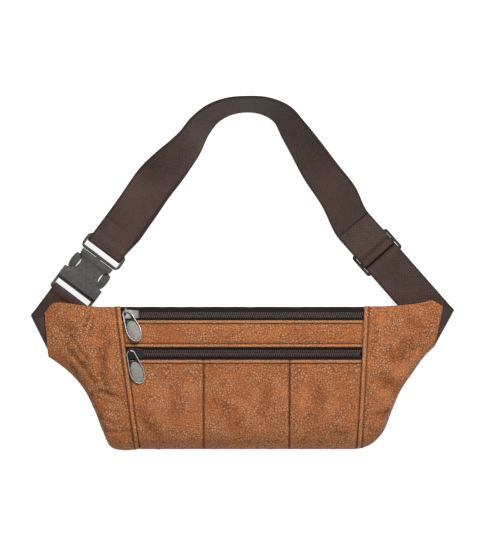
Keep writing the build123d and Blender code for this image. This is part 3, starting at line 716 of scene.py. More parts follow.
def plastic_finish(name, groups, colour, roughness, shine=0.5):
    """Moulded plastic with a fine spark texture and rubbed corners."""
    cast = Finish(name, groups, Roughness=roughness)
    cast.shader.inputs["Specular IOR Level"].default_value = shine
    graph = cast.graph
    spark = graph.node(
        "ShaderNodeTexNoise", {"Vector": cast.place, "Scale": 2400.0, "Detail": 3.0}
    ).outputs["Fac"]
    patch = cast.group("cloud", Place=cast.place, Size=8 * MM, Detail=4.0)["Value"]
    sharp_edges = cast.group("sharp_edges", Place=cast.place, Edge=0.58)["Mask"]
    shade = graph.blend(patch, tone(colour, 0.85), tone(colour, 1.1))
    shade = graph.blend(graph.spread(sharp_edges, 0, 1, 0, 0.5), shade, tone(colour, 2.4))
    cast.feed(
        Base_Color=shade,
        Roughness=graph.spread(patch, 0.0, 1.0, roughness - 0.06, roughness + 0.08),
        Normal=cast.bump(spark, 0.08 * MM),
    )
    return cast.material


def metal_finish(name, groups, colour, roughness, metallic):
    """Cast metal with a satin plating, brighter where it is rubbed."""
    cast = Finish(name, groups, Metallic=metallic, Roughness=roughness)
    graph = cast.graph
    patch = cast.group("cloud", Place=cast.place, Size=4 * MM, Detail=4.0)["Value"]
    grit = graph.node(
        "ShaderNodeTexNoise", {"Vector": cast.place, "Scale": 1800.0, "Detail": 3.0}
    ).outputs["Fac"]
    sharp_edges = cast.group("sharp_edges", Place=cast.place, Edge=0.56)["Mask"]
    shade = graph.blend(patch, tone(colour, 0.85), tone(colour, 1.1))
    shade = graph.blend(graph.spread(sharp_edges, 0, 1, 0, 0.8), shade, tone(colour, 2.4))
    cast.feed(
        Base_Color=shade,
        Roughness=graph.spread(patch, 0.0, 1.0, roughness - 0.06, roughness + 0.08),
        Normal=cast.bump(grit, 0.06 * MM),
    )
    return cast.material


def thread_finish(name, groups, colour):
    """Twisted sewing thread."""
    yarn = Finish(name, groups, Roughness=0.7)
    yarn.shader.inputs["Specular IOR Level"].default_value = 0.2
    graph = yarn.graph
    twist = graph.node(
        "ShaderNodeTexWave", {"Vector": yarn.place, "Scale": 900.0, "Distortion": 2.0},
        bands_direction="DIAGONAL",
    ).outputs["Fac"]
    patch = yarn.group("cloud", Place=yarn.place, Size=12 * MM, Detail=2.0)["Value"]
    shade = graph.blend(patch, tone(colour, 0.8), tone(colour, 1.2))
    yarn.feed(Base_Color=shade, Normal=yarn.bump(twist, 0.08 * MM))
    return yarn.material


def materials():
    """The finishes of the pack, built once and found by name."""
    if "Leather" not in bpy.data.materials:
        groups = shader_groups()
        colours = bpy.context.scene.pack_colours
        leather_finish(groups, colours)
        webbing_finish(groups, colours)
        ribbon_finish("Zip tape", groups, colours.tape, 1.1 * MM, 0.7 * MM)
        ribbon_finish("Lining", groups, colours.lining, 0.7 * MM, 0.7 * MM)
        plastic_finish("Zip coil", groups, colours.coil, 0.4, 0.3)
        plastic_finish("Buckle plastic", groups, colours.buckle, 0.5)
        plastic_finish("Adjuster plastic", groups, colours.adjuster, 0.34)
        metal_finish("Gunmetal", groups, colours.metal, 0.6, 0.2)
        metal_finish("Bright rim", groups, colours.rim, 0.4, 0.5)
        metal_finish("Grey nickel", groups, tone(colours.slider, 2.6)[:3], 0.45, 0.2)
        metal_finish("Black nickel", groups, colours.slider, 0.25, 0.6)
        # painted shade standing in for the needle holes
        plastic_finish("Needle hole", groups, colours.needle_hole_shade, 0.8)
        thread_finish("Zip cord", groups, tone(colours.tape, 0.8)[:3])
        thread_finish("Leather thread", groups, colours.thread)
        thread_finish("Belt thread", groups, colours.belt_thread)
    return bpy.data.materials


# === leather ======================================================================================
def by_rows(values, like):
    """One value for each row, spread over a grid's columns."""
    return np.broadcast_to(values[:, None], like.shape)


def centre_surface(section, lengths, left, right, shares, outwards, relief):
    """Points, normals, flat places and marks of a panel between two seams of the pouch's centre."""
    y, z = section.at(lengths).T
    span = (right(y) - left(y))[:, None]
    x = left(y)[:, None] + span * shares[None, :]
    grid = np.stack([x, by_rows(y, x), by_rows(z, x)], -1)
    normals = normals_of(grid, np.array([0, 0, outwards]))
    from_low = by_rows(lengths - lengths[0], x)
    from_high = by_rows(lengths[-1] - lengths, x)
    from_left, from_right = x - left(y)[:, None], span * (1 - shares)
    height, dark = relief(x, grid[..., 1], from_low, from_high, from_left, from_right)
    flat = np.stack([x, by_rows(lengths, x)], -1)
    return grid + normals * height[..., None], normals, flat, dark


def seam_line(seam, shift=0.0):
    """A panel seam as a function of y, moved sideways."""
    pair = seam if hasattr(seam, "__len__") else (seam, seam)
    return lambda y: seam_x(pair, y) + shift


def near(x, y, centre_x, centre_y, reach):
    """One at a place on the pack, falling to nothing around it."""
    return np.exp(-(((x - centre_x * MM) / reach) ** 2) - ((y - centre_y * MM) / reach) ** 2)


STITCH_IN = 2.9 * MM


def turned_edge(away):
    """Height of a turned and stitched edge, by the distance from it."""
    return 0.4 * MM * hump(away, 0.9 * MM, 1.1 * MM) - 0.45 * MM * hump(away, STITCH_IN, 0.8 * MM)


def stitch_painted_shading(away):
    """Darkness of the groove that a stitch row pulls, and below nought the pale turned edge."""
    return 0.95 * hump(away, STITCH_IN, 0.55 * MM) - 0.8 * hump(away, 1.0 * MM, 0.9 * MM)


def pocket_relief(seams):
    """Relief of a pocket panel whose left and right edges are these kinds of seam."""
    def relief(x, y, low, high, left, right):
        depth, dark = creases(x, y, POCKET_CREASES)
        full = ease(high, 5 * MM, 24 * MM) * ease(low, 2 * MM, 22 * MM)
        side = 1 - np.exp(-left / (13 * MM)) - np.exp(-right / (13 * MM))
        quiet = 1 - near(x, y, -95, 8, 20 * MM) - near(x, y, 102, 8, 20 * MM)
        swell = 1.5 * MM * side + 0.5 * MM * ripples(x, y, 42 * MM, 5) + depth
        fine = 0.13 * MM * ripples(x, y, 9 * MM, 6) * ease(high, 3 * MM, 8 * MM)
        height = swell * full * quiet + fine + turned_edge(high)
        # painted shade in the creases and the stitch groove, painted highlight on the turned top edge
        dark = dark * full * quiet + stitch_painted_shading(high)
        for away, kind in ((left, seams[0]), (right, seams[1])):
            height -= kind * 0.9 * MM * np.exp(-away / (2.2 * MM))
            # painted shade along the seam, with a faint painted highlight beside it
            dark = dark + 0.95 * hump(away, 0, 1.2 * MM) - 0.3 * hump(away, 2.6 * MM, 0.8 * MM)
        return height, np.clip(dark, -1, 1)

    return relief


def strip_relief(x, y, low, high, left, right):
    """Relief of the strip between the two zips."""
    quiet = 1 - 0.7 * near(x, y, -100, 45, 16 * MM)
    swell = 0.5 * MM * ease(low, 3 * MM, 9 * MM) * ease(high, 3 * MM, 9 * MM)
    height = (swell + 0.22 * MM * ripples(x, y, 26 * MM, 8)) * quiet
    height = height + 0.12 * MM * ripples(x, y, 8 * MM, 9)
    height = height * ease(np.minimum(low, high), 2 * MM, 6 * MM)
    # painted shade in both stitch grooves and along the seams at both ends, painted highlight on the
    # turned edges
    dark = stitch_painted_shading(low) + stitch_painted_shading(high) + 0.7 * hump(right, 0, 1.2 * MM)
    dark = dark + 0.7 * hump(left, 0, 1.2 * MM)
    return height + turned_edge(low) + turned_edge(high), np.clip(dark, -1, 1)


def back_relief(x, y, low, high, left, right):
    """Relief of the back: only inwards, so that the pack still lies on its plane."""
    broad = 0.35 * MM * (1 + ripples(x, y, 46 * MM, 12) * 0.5)
    fine = 0.12 * MM * (1 + ripples(x, y, 9 * MM, 13) * 0.5)
    soft = broad + fine
    edge = ease(np.minimum(low, high), 0, 10 * MM)
    # painted shade along the side seams
    dark = 0.6 * (hump(left, 0, 1.1 * MM) + hump(right, 0, 1.1 * MM))
    return -soft * edge, np.clip(dark, 0, 1)


def spaced(low, high, step, inset):
    """Places from low to high, an edge's inset left at both ends."""
    return np.linspace(low + inset, high - inset, max(int((high - low) / step), 3))


def fine_ends(low, high, step, inset):
    """Places from low to high, close together where both edges are turned and sewn."""
    reach = 5 * MM
    end = np.arange(inset, reach, step * 0.3)
    middle = spaced(low + reach, high - reach, step, 0)
    return np.concatenate([low + end, middle, high - end[::-1]])


def shares_for(width, step, inset):
    """Shares of a width, about a step apart, an edge's inset left at both ends."""
    return spaced(0, 1, step / width, inset / width)


PANELS = {
    "pocket_panel_left": (0, POCKET_TOP, LEFT_SEAM, POCKET_SEAMS[0], pocket_relief((0.5, 1))),
    "pocket_panel_centre": (0, POCKET_TOP, POCKET_SEAMS[0], POCKET_SEAMS[1], pocket_relief((1, 1))),
    "pocket_panel_right": (0, POCKET_TOP, POCKET_SEAMS[1], RIGHT_SEAM, pocket_relief((1, 0.5))),
    "front_strip": (STRIP_LOW, STRIP_HIGH, LEFT_SEAM, RIGHT_SEAM, strip_relief),
}


def panel_surface(name, lengths=None):
    """A front panel's surface, whole or at chosen lengths from its lower edge."""
    low, high, left, right, relief = PANELS[name]
    sizes = bpy.context.scene.pack_sizes
    inset = sizes.leather / 2
    start, end = FRONT.corner[low], FRONT.corner[high]
    everywhere = fine_ends(start, end, sizes.detail, inset)
    width = (np.mean(right) - np.mean(left)) * MM
    shares = shares_for(width, sizes.detail, inset)
    surface = centre_surface(
        FRONT, everywhere, seam_line(left), seam_line(right), shares, 1, relief
    )
    if lengths is None:
        return surface
    rows = [np.argmin(np.abs(everywhere - start - length)) for length in lengths]
    return [(surface[0][row], surface[1][row]) for row in rows]


def make_centre_leather():
    """The front panels, the strip between the zips and the back of the pouch."""
    sizes = bpy.context.scene.pack_sizes
    leather = materials()["Leather"]
    for name in PANELS:
        panel = sheet_piece(name + "_leather", [panel_surface(name)], sizes.leather, leather)
        settle(panel, "leather", name)
    inset = sizes.leather / 2
    coarse = sizes.detail * 1.6
    width = (RIGHT_SEAM[0] - LEFT_SEAM[0]) * MM
    back = centre_surface(
        BACK, spaced(0, BACK.lengths[-1], coarse, inset), seam_line(LEFT_SEAM),
        seam_line(RIGHT_SEAM), shares_for(width, coarse, inset), -1, back_relief,
    )
    piece = sheet_piece("back_panel_leather", [back], sizes.leather, leather)
    settle(piece, "leather", "back_panel")


def wing_place(stations, away, lengths, section):
    """Points of a wing's face, by distance out and section length, and the wing's own reach."""
    stations = np.array(stations)
    knots = lengths_along((stations[:, 0:2] + stations[:, 2:4]) / 2) * MM
    values = through(knots, stations, away.ravel()).reshape(*away.shape, 6)
    low, high = values[..., 0:2] * MM, values[..., 2:4] * MM
    run = high - low
    y, z = np.moveaxis(section.at(lengths), -1, 0)
    share = (y - BOTTOM_Y * MM) / ((TOP_Y - BOTTOM_Y) * MM)
    rise, full = values[..., 4], values[..., 5]
    thick = (WING_END_THICK + full * (DEPTH - WING_END_THICK)) / DEPTH
    height = rise * (WING_STRAP_Z - WING_END_THICK / 2) * MM + z * thick
    place = low + run * share[..., None]
    return np.concatenate([place, height[..., None]], -1), knots[-1]


def wing_surface(stations, seam, section, outwards, away, lengths, relief):
    """A wing's face, its rows measured out from the panel seam, with its relief."""
    away, lengths = np.meshgrid(away, lengths, indexing="ij")
    probe = wing_place(stations, np.full_like(away, 4 * MM), lengths, section)[0]
    pace = np.abs(probe[..., 0] - seam_x(seam, probe[..., 1])) / (4 * MM)
    evened = away / pace
    share = ease(away, 6 * MM, 34 * MM)
    grid, reach = wing_place(stations, evened * (1 - share) + away * share, lengths, section)
    normals = normals_of(grid, np.array([0, 0, outwards]))
    edge = np.minimum(lengths, section.lengths[-1] - lengths)
    height, dark = relief(grid[..., 0], grid[..., 1], away, reach - away, edge)
    return grid + normals * height[..., None], normals, np.stack([away, lengths], -1), dark


def wing_front_relief(lines, seed):
    """Relief of a wing's front: its folded edge, stitch groove, creases and fine wrinkles."""
    def relief(x, y, away, end, edge):
        depth, dark = creases(x, y, lines)
        inner = ease(away, 5 * MM, 14 * MM)
        level = ease(edge, 3 * MM, 14 * MM) * ease(end, 2 * MM, 12 * MM)
        soft = 0.45 * MM * ripples(x, y, 30 * MM, seed)
        soft = soft + 0.16 * MM * ripples(x, y, 8 * MM, seed + 1)
        pucker = 0.17 * MM * ripples(x, 2.2 * y, 11 * MM, seed + 2) * ease(-y, 10 * MM, 40 * MM)
        rib = 1.25 * MM * np.clip(1 - ((away - 1.9 * MM) / (2.2 * MM)) ** 4, 0, 1)
        groove = -0.5 * MM * hump(away, 4.6 * MM, 0.8 * MM)
        height = (soft + pucker + depth) * inner * level + (rib + groove) * ease(edge, MM, 9 * MM)
        # painted shade in the creases, the stitch groove and along the seam edge, painted highlight on
        # the folded rib
        dark = dark * inner + 0.9 * hump(away, 4.5 * MM, 0.8 * MM)
        dark = dark - 0.5 * hump(away, 1.9 * MM, 1.4 * MM) + 0.5 * hump(away, 0, 0.7 * MM)
        return height, np.clip(dark, -1, 1)

    return relief


def wing_back_relief(x, y, away, end, edge):
    """Relief of a wing's back."""
    soft = 0.3 * MM * (1 + 0.5 * ripples(x, y, 36 * MM, 31)) + 0.1 * MM * ripples(x, y, 9 * MM, 32)
    level = ease(edge, 2 * MM, 12 * MM) * ease(end, 1 * MM, 8 * MM)
    # painted shade along the seam
    return -soft * level, 0.6 * hump(away, 0, 1.1 * MM)


WINGS = {
    "left": (LEFT_WING, LEFT_SEAM, wing_front_relief(LEFT_CREASES, 21)),
    "right": (RIGHT_WING, RIGHT_SEAM, wing_front_relief(RIGHT_CREASES, 26)),
}
WING_STITCH_AT = 4.5 * MM


def wing_rows(stations, detail, inset):
    """Distances out from the seam, close together over the folded edge."""
    mid = np.array(stations)
    reach = lengths_along((mid[:, 0:2] + mid[:, 2:4]) / 2)[-1] * MM
    fold = np.arange(inset, 7 * MM, detail * 0.35)
    return np.concatenate([fold, spaced(7 * MM, reach - inset, detail, 0)])


def make_wings():
    """Front and back leather of both wings."""
    sizes = bpy.context.scene.pack_sizes
    leather = materials()["Leather"]
    inset = sizes.leather / 2
    for side, (stations, seam, relief) in WINGS.items():
        rows = wing_rows(stations, sizes.detail, inset)
        faces = (("front", FRONT, 1, relief, rows), ("back", BACK, -1, wing_back_relief, rows[::2]))
        for face, section, outwards, shape, away in faces:
            lengths = spaced(0, section.lengths[-1], sizes.detail, inset)
            surface = wing_surface(stations, seam, section, outwards, away, lengths, shape)
            name = f"wing_{face}_{side}"
            piece = sheet_piece(name + "_leather", [surface], sizes.leather, leather)
            settle(piece, "leather", name)


# === zips =========================================================================================
ZIPS = {
    "front_zip": (POCKET_TOP, STRIP_LOW, None),
    "main_zip": (STRIP_HIGH, TAPE_TOP, 5.2 * MM),
}
COIL_WIDTH = 5.8 * MM
COIL_HEIGHT = 1.8 * MM
COIL_WIRE = 0.30 * MM
TAPE_WIDTH = 14.0 * MM
PARTING = 1.5 * MM


def zip_axes(name):
    """A zip's coil line: its length along the section, its point, its run and its outward way."""
    low, high, along = ZIPS[name]
    start, end = FRONT.corner[low], FRONT.corner[high]
    middle = start + (along if along else (end - start) / 2)
    first, last = FRONT.at(np.array([start, end]))
    run = np.array([0, *unit(last - first)])
    out = np.array([0, -run[2], run[1]])
    leather = bpy.context.scene.pack_sizes.leather
    return middle, np.array([0, *FRONT.at(np.array([middle]))[0]]) - out * leather, run, out


def tape_sheet(low, high, lift):
    """One tape of a zip under the leather, between two lengths along the section."""
    sizes = bpy.context.scene.pack_sizes
    inset = sizes.tape / 2
    lengths = spaced(low, high, 1.2 * MM, inset)
    width = (RIGHT_SEAM[0] - LEFT_SEAM[0]) * MM

    def relief(x, y, from_low, from_high, left, right):
        ease_out = lift(np.broadcast_to(lengths[:, None], x.shape))
        ruffle = 0.12 * MM * ripples(x, y * 0.3, 14 * MM, 41)
        return ease_out - sizes.leather + np.minimum(ruffle, 0), np.zeros_like(x)

    return centre_surface(
        FRONT, lengths, seam_line(LEFT_SEAM), seam_line(RIGHT_SEAM),
        shares_for(width, 2.4 * MM, inset), 1, relief,
    )


def make_tapes():
    """Woven tapes of both zips, and the linings that hang from them."""
    sizes = bpy.context.scene.pack_sizes
    tape = materials()["Zip tape"]
    end = FRONT.lengths[-1]
    top = FRONT.corner[TAPE_TOP]
    level = lambda lengths: lengths * 0
    rise = sizes.leather - 0.05 * MM
    over_top = lambda lengths: rise * ease(lengths, top - 3 * MM, top + 1.5 * MM)
    for name in ZIPS:
        middle = zip_axes(name)[0]
        highest = end if name == "main_zip" else middle + TAPE_WIDTH
        lift = over_top if name == "main_zip" else level
        for part, low, high in (
            ("lower", middle - TAPE_WIDTH, middle - PARTING),
            ("upper", middle + PARTING, highest),
        ):
            sheet = tape_sheet(low, high, lift)
            node = f"{name}_tape_{part}"
            settle(sheet_piece(node + "_cloth", [sheet], sizes.tape, tape), "zip_tape", node)


def make_linings():
    """The lining on the back of the pouch and the wall behind the front pocket."""
    sizes = bpy.context.scene.pack_sizes
    lining = materials()["Lining"]
    inset = sizes.lining / 2
    width = (RIGHT_SEAM[0] - LEFT_SEAM[0]) * MM
    shares = shares_for(width, 5 * MM, inset)

    def under_leather(x, y, low, high, left, right):
        return 0 * x - sizes.leather - 0.1 * MM * (1 + ripples(x, y, 30 * MM, 51) * 0.5), 0 * x

    main = centre_surface(
        BACK, spaced(0, BACK.lengths[-1], 3 * MM, inset), seam_line(LEFT_SEAM),
        seam_line(RIGHT_SEAM), shares, -1, under_leather,
    )
    settle(sheet_piece("main_lining_cloth", [main], sizes.lining, lining), "lining", "main_lining")
    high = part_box("pocket_lining")[1]
    route = np.array([(-61.0, 12.5), (-32.0, 16.0), (13.8, 22.0), (34.4, high.z / MM - 0.3)])
    line = rounded_route(route, 1.0, 5.0) * MM
    y, z = even_line(line, 3 * MM).T
    left, right = seam_line(LEFT_SEAM)(y)[:, None], seam_line(RIGHT_SEAM)(y)[:, None]
    x = left + (right - left) * shares
    z = z[:, None] - 0.6 * MM * (1 + ripples(x, y[:, None], 40 * MM, 52) * 0.5)
    grid = np.stack([x, by_rows(y, x), z], -1)
    normals = normals_of(grid, UP)
    wall = (grid, normals, grid[..., :2], 0 * x)
    piece = sheet_piece("pocket_lining_cloth", [wall], sizes.lining, lining)
    settle(piece, "lining", "pocket_lining")


# === repeats made by geometry nodes ===============================================================
def node_tree(name, inputs):
    """An empty geometry node tree with these named inputs, its graph, entry and exit."""
    tree = bpy.data.node_groups.new(name, "GeometryNodeTree")
    tree.interface.new_socket(name="Geometry", in_out="INPUT", socket_type="NodeSocketGeometry")
    for label, kind, default in inputs:
        socket = tree.interface.new_socket(name=label, in_out="INPUT", socket_type=kind)
        if default is not None:
            socket.default_value = default
    tree.interface.new_socket(name="Geometry", in_out="OUTPUT", socket_type="NodeSocketGeometry")
    graph = Graph(tree)
    return tree, graph, graph.node("NodeGroupInput").outputs, graph.node("NodeGroupOutput").inputs


def stitch_tree():
    """Stitches of even length set along every edge line of a mesh."""
    number = "NodeSocketFloat"
    tree, graph, entry, leave = node_tree("Stitch rows", [
        ("Pace", number, 0.003), ("Length", number, 0.0022), ("Thread", number, 0.0003),
        ("Uneven", number, 0.1), ("Seed", "NodeSocketInt", 7),
        ("Material", "NodeSocketMaterial", None),
    ])
    curve = graph.node("GeometryNodeMeshToCurve", {"Mesh": entry["Geometry"]}).outputs[0]
    even = graph.node(
        "GeometryNodeResampleCurve", {"Curve": curve, "Length": entry["Pace"]}, mode="LENGTH"
    )
    tangent = graph.node("GeometryNodeInputTangent").outputs[0]
    out = graph.node("GeometryNodeInputNamedAttribute", {"Name": "out"}, data_type="FLOAT_VECTOR")
    turn = graph.node("FunctionNodeAlignRotationToVector", {"Vector": tangent}, axis="X")
    turn = graph.node(
        "FunctionNodeAlignRotationToVector",
        {"Rotation": turn.outputs[0], "Vector": out.outputs[0]}, axis="Z", pivot_axis="X",
    )
    ball = graph.node("GeometryNodeMeshUVSphere", {"Segments": 8, "Rings": 6, "Radius": 1.0})
    half = graph.math("MULTIPLY", entry["Length"], 0.5)
    size = graph.node("ShaderNodeCombineXYZ", {0: half, 1: entry["Thread"], 2: entry["Thread"]})
    stitch = graph.node(
        "GeometryNodeTransform", {"Geometry": ball.outputs[0], "Scale": size.outputs[0]}
    )
    least = graph.math("SUBTRACT", 1.0, entry["Uneven"])
    most = graph.math("ADD", 1.0, entry["Uneven"])
    chance = graph.node("FunctionNodeRandomValue", data_type="FLOAT")
    for label, value in (("Min", least), ("Max", most), ("Seed", entry["Seed"])):
        sockets = [s for s in chance.inputs if s.name == label and s.enabled]
        tree.links.new(value, sockets[0])
    amount = [s for s in chance.outputs if s.enabled][0]
    placed = graph.node("GeometryNodeInstanceOnPoints", {
        "Points": even.outputs[0], "Instance": stitch.outputs[0], "Rotation": turn.outputs[0],
        "Scale": amount,
    })
    real = graph.node("GeometryNodeRealizeInstances", {"Geometry": placed.outputs[0]})
    done = graph.node(
        "GeometryNodeSetMaterial", {"Geometry": real.outputs[0], "Material": entry["Material"]}
    )
    tree.links.new(done.outputs[0], leave["Geometry"])
    return tree


def coil_tree():
    """A zip's row of teeth: a flattened coil of nylon wire."""
    number = "NodeSocketFloat"
    tree, graph, entry, leave = node_tree("Zip coil", [
        ("Length", number, 0.2), ("Pitch", number, 0.0017), ("Half Width", number, 0.0016),
        ("Half Height", number, 0.0006), ("Wire", number, 0.0004),
        ("Material", "NodeSocketMaterial", None),
    ])
    turns = graph.math("DIVIDE", entry["Length"], entry["Pitch"])
    spiral = graph.node("GeometryNodeCurveSpiral", {
        "Resolution": 14, "Rotations": turns, "Start Radius": 1.0, "End Radius": 1.0,
        "Height": entry["Length"],
    })
    flatten = graph.node(
        "ShaderNodeCombineXYZ", {0: entry["Half Height"], 1: entry["Half Width"], 2: 1.0}
    )
    flat = graph.node(
        "GeometryNodeTransform", {"Geometry": spiral.outputs[0], "Scale": flatten.outputs[0]}
    )
    wire = graph.node(
        "GeometryNodeCurvePrimitiveCircle", {"Resolution": 6, "Radius": entry["Wire"]}
    )
    coil = graph.node(
        "GeometryNodeCurveToMesh",
        {"Curve": flat.outputs[0], "Profile Curve": wire.outputs[0], "Fill Caps": True},
    )
    real = graph.node("GeometryNodeRealizeInstances", {"Geometry": coil.outputs[0]})
    done = graph.node(
        "GeometryNodeSetMaterial", {"Geometry": real.outputs[0], "Material": entry["Material"]}
    )
    tree.links.new(done.outputs[0], leave["Geometry"])
    return tree


def grow(piece, tree, **values):
    """Run a node tree on a piece and keep its result as a plain mesh."""
    step = piece.modifiers.new(tree.name, "NODES")
    step.node_group = tree
    for item in tree.interface.items_tree:
        label = item.name.replace(" ", "_")
        if item.in_out == "INPUT" and label in values:
            step[item.identifier] = values[label]
    evaluated(piece)
    piece.data.shade_smooth()
    return piece


def line_piece(name, rows):
    """Edge lines through rows of points, each point with the way out of the surface there."""
    mesh = bpy.data.meshes.new(name)
    points = np.concatenate([row for row, out in rows])
    edges = []
    count = 0
    for row, out in rows:
        ids = count + np.arange(len(row))
        edges += np.stack([ids[:-1], ids[1:]], 1).tolist()
        count += len(row)
    mesh.from_pydata(points.tolist(), edges, [])
    out_at = mesh.attributes.new("out", "FLOAT_VECTOR", "POINT")
    outs = np.concatenate([out for row, out in rows]).astype(np.float32)
    out_at.data.foreach_set("vector", outs.ravel())
    piece = bpy.data.objects.new(name, mesh)
    bpy.context.scene.collection.objects.link(piece)
    return piece


def sew(name, rows, material, body, pace, length, thread):
    """One piece of stitching along rows of points."""
    tree = bpy.data.node_groups.get("Stitch rows") or stitch_tree()
    piece = line_piece(name, rows)
    grow(
        piece, tree, Pace=pace, Length=length, Thread=thread, Uneven=0.12, Seed=7,
        Material=materials()[material],
    )
    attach(piece, body)
    return piece


def make_stitching():
    """Topstitching along the leather's turned edges and folded seams."""
    sizes = bpy.context.scene.pack_sizes
    rows = []
    start, end = FRONT.corner[STRIP_LOW], FRONT.corner[STRIP_HIGH]
    low, high = STITCH_IN, end - start - STITCH_IN
    rows += panel_surface("front_strip", (low, high))
    for name in ("pocket_panel_left", "pocket_panel_centre", "pocket_panel_right"):
        rows += panel_surface(name, (FRONT.corner[POCKET_TOP] - low,))
    for stations, seam, relief in WINGS.values():
        lengths = spaced(0, FRONT.lengths[-1], sizes.detail, 2 * MM)
        away = np.array([WING_STITCH_AT, WING_STITCH_AT + MM])
        surface = wing_surface(stations, seam, FRONT, 1, away, lengths, relief)
        rows.append((surface[0][0], surface[1][0]))
    body = body_of("front_strip")
    pace, thread = sizes.stitch_pace, sizes.thread
    holes = [(row + unit(np.gradient(row, axis=0)) * pace / 2, out) for row, out in rows]
    raised = [(row + out * 0.15 * MM, out) for row, out in rows]
    sew("leather_stitching", raised, "Leather thread", body, pace, pace * 0.72, thread)
    # dark dots at both ends of each stitch: painted shade standing in for the needle holes
    sew("leather_needle_holes", holes, "Needle hole", body, pace, pace * 0.3, thread)


def cord_piece(name, length, half_high, half_wide, material):
    """A flattened cord along z, from the origin."""
    angle = np.linspace(0, 2 * pi, 16, endpoint=False)
    ring = np.stack([half_high * np.cos(angle), half_wide * np.sin(angle)], 1)
    ends = [np.column_stack([ring, np.full(len(ring), place)]) for place in (0, length)]
    near_end = np.arange(len(ring))
    far_end = near_end + len(ring)
    mesh = bpy.data.meshes.new(name)
    sides = np.stack([near_end, np.roll(near_end, -1), np.roll(far_end, -1), far_end], 1)
    faces = sides.tolist() + [near_end[::-1].tolist(), far_end.tolist()]
    mesh.from_pydata(np.concatenate(ends).tolist(), [], faces)
    mesh.materials.append(material)
    mesh.shade_smooth()
    mesh.set_sharp_from_angle(angle=radians(50))
    piece = bpy.data.objects.new(name, mesh)
    bpy.context.scene.collection.objects.link(piece)
    return piece


def make_teeth():
    """The four coils of teeth, in two meshing pairs, each wound on its filler cord."""
    pitch = bpy.context.scene.pack_sizes.tooth_pitch
    tree = coil_tree()
    wide, high = COIL_WIDTH / 4 + 0.1 * MM, COIL_HEIGHT / 2 - COIL_WIRE
    for name in ZIPS:
        centre, run, out = zip_axes(name)[1:]
        for part, side in (("lower", -1), ("upper", 1)):
            node = f"{name}_teeth_{part}"
            low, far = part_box(node)
            place = centre + run * side * COIL_WIDTH / 4 + out * COIL_HEIGHT / 2
            place[0] = low.x + pitch / 2 * (side > 0)
            turn = Matrix.Identity(4)
            for column, way in enumerate((out, run * side, (1, 0, 0), place)):
                for row in range(3):
                    turn[row][column] = way[row]
            length = far.x - low.x - pitch
            coil = bpy.data.objects.new(node + "_coil", bpy.data.meshes.new(node))
            bpy.context.scene.collection.objects.link(coil)
            grow(
                coil, tree, Length=length, Pitch=pitch, Half_Width=wide, Half_Height=high,
                Wire=COIL_WIRE, Material=materials()["Zip coil"],
            )
            cord = cord_piece(
                node + "_cord", length, high - COIL_WIRE, wide - COIL_WIRE, materials()["Zip cord"]
            )
            for piece in (coil, cord):
                piece.data.transform(turn)
                if turn.determinant() < 0:
                    piece.data.flip_normals()
                settle(piece, "zip_teeth", node)


# === cast and moulded pieces ======================================================================
def softened(node, name, width, material, angle=32):
    """A copy of a frame node with its hard corners rounded, as they leave a mould."""
    mesh = frame["nodes"][node].data.copy()
    mesh.name = name
    shape = bmesh.new()
    shape.from_mesh(mesh)
    bmesh.ops.remove_doubles(shape, verts=shape.verts, dist=0.002 * MM)
    bmesh.ops.dissolve_limit(
        shape, angle_limit=radians(1.0), verts=shape.verts, edges=shape.edges, delimit=set()
    )
    shape.to_mesh(mesh)
    shape.free()
    mesh.materials.clear()
    mesh.materials.append(material)
    for layer in list(mesh.uv_layers):
        mesh.uv_layers.remove(layer)
    mesh.shade_smooth()
    piece = bpy.data.objects.new(name, mesh)
    bpy.context.scene.collection.objects.link(piece)
    bevel = piece.modifiers.new("Rounded corners", "BEVEL")
    bevel.width = width
    bevel.segments = 3
    bevel.limit_method = "ANGLE"
    bevel.angle_limit = radians(angle)
    bevel.harden_normals = False
    evaluated(piece)
    piece.data.set_sharp_from_angle(angle=radians(40))
    return piece


def principal_frame(node):
    """Centre, long way, side way and outward way of a flat node, and its half sizes."""
    points = np.array([vertex.co for vertex in frame["nodes"][node].data.vertices])
    middle = (points.max(0) + points.min(0)) / 2
    ways = np.linalg.svd(points - points.mean(0), full_matrices=False)[2]
    down, out = ways[0], ways[2]
    down = down * np.sign(-down[1])
    out = out * np.sign(out[2])
    side = np.cross(out, down)
    local = (points - middle) @ np.stack([down, side, out], 1)
    middle = middle + np.stack([down, side, out], 1) @ ((local.max(0) + local.min(0)) / 2)
    return middle, down, side, out, (local.max(0) - local.min(0)) / 2


def drop_outline(neck, tip, length, inset, count=96):
    """Outline of a drop-shaped plate: a round neck and an oval tip, tangents between them."""
    angle = np.linspace(0, 2 * pi, count, endpoint=False)
    way = np.stack([np.cos(angle), np.sin(angle)], 1)
    long = 1.75 * tip
    reach = np.hypot(long * way[:, :1], tip * way[:, 1:])
    oval = np.array([length / 2 - long, 0]) + way * [long**2, tip**2] / reach
    ring = np.array([neck - length / 2, 0]) + way * neck
    further = np.sum(oval * way, 1) > np.sum(ring * way, 1)
    return np.where(further[:, None], oval, ring) - way * inset


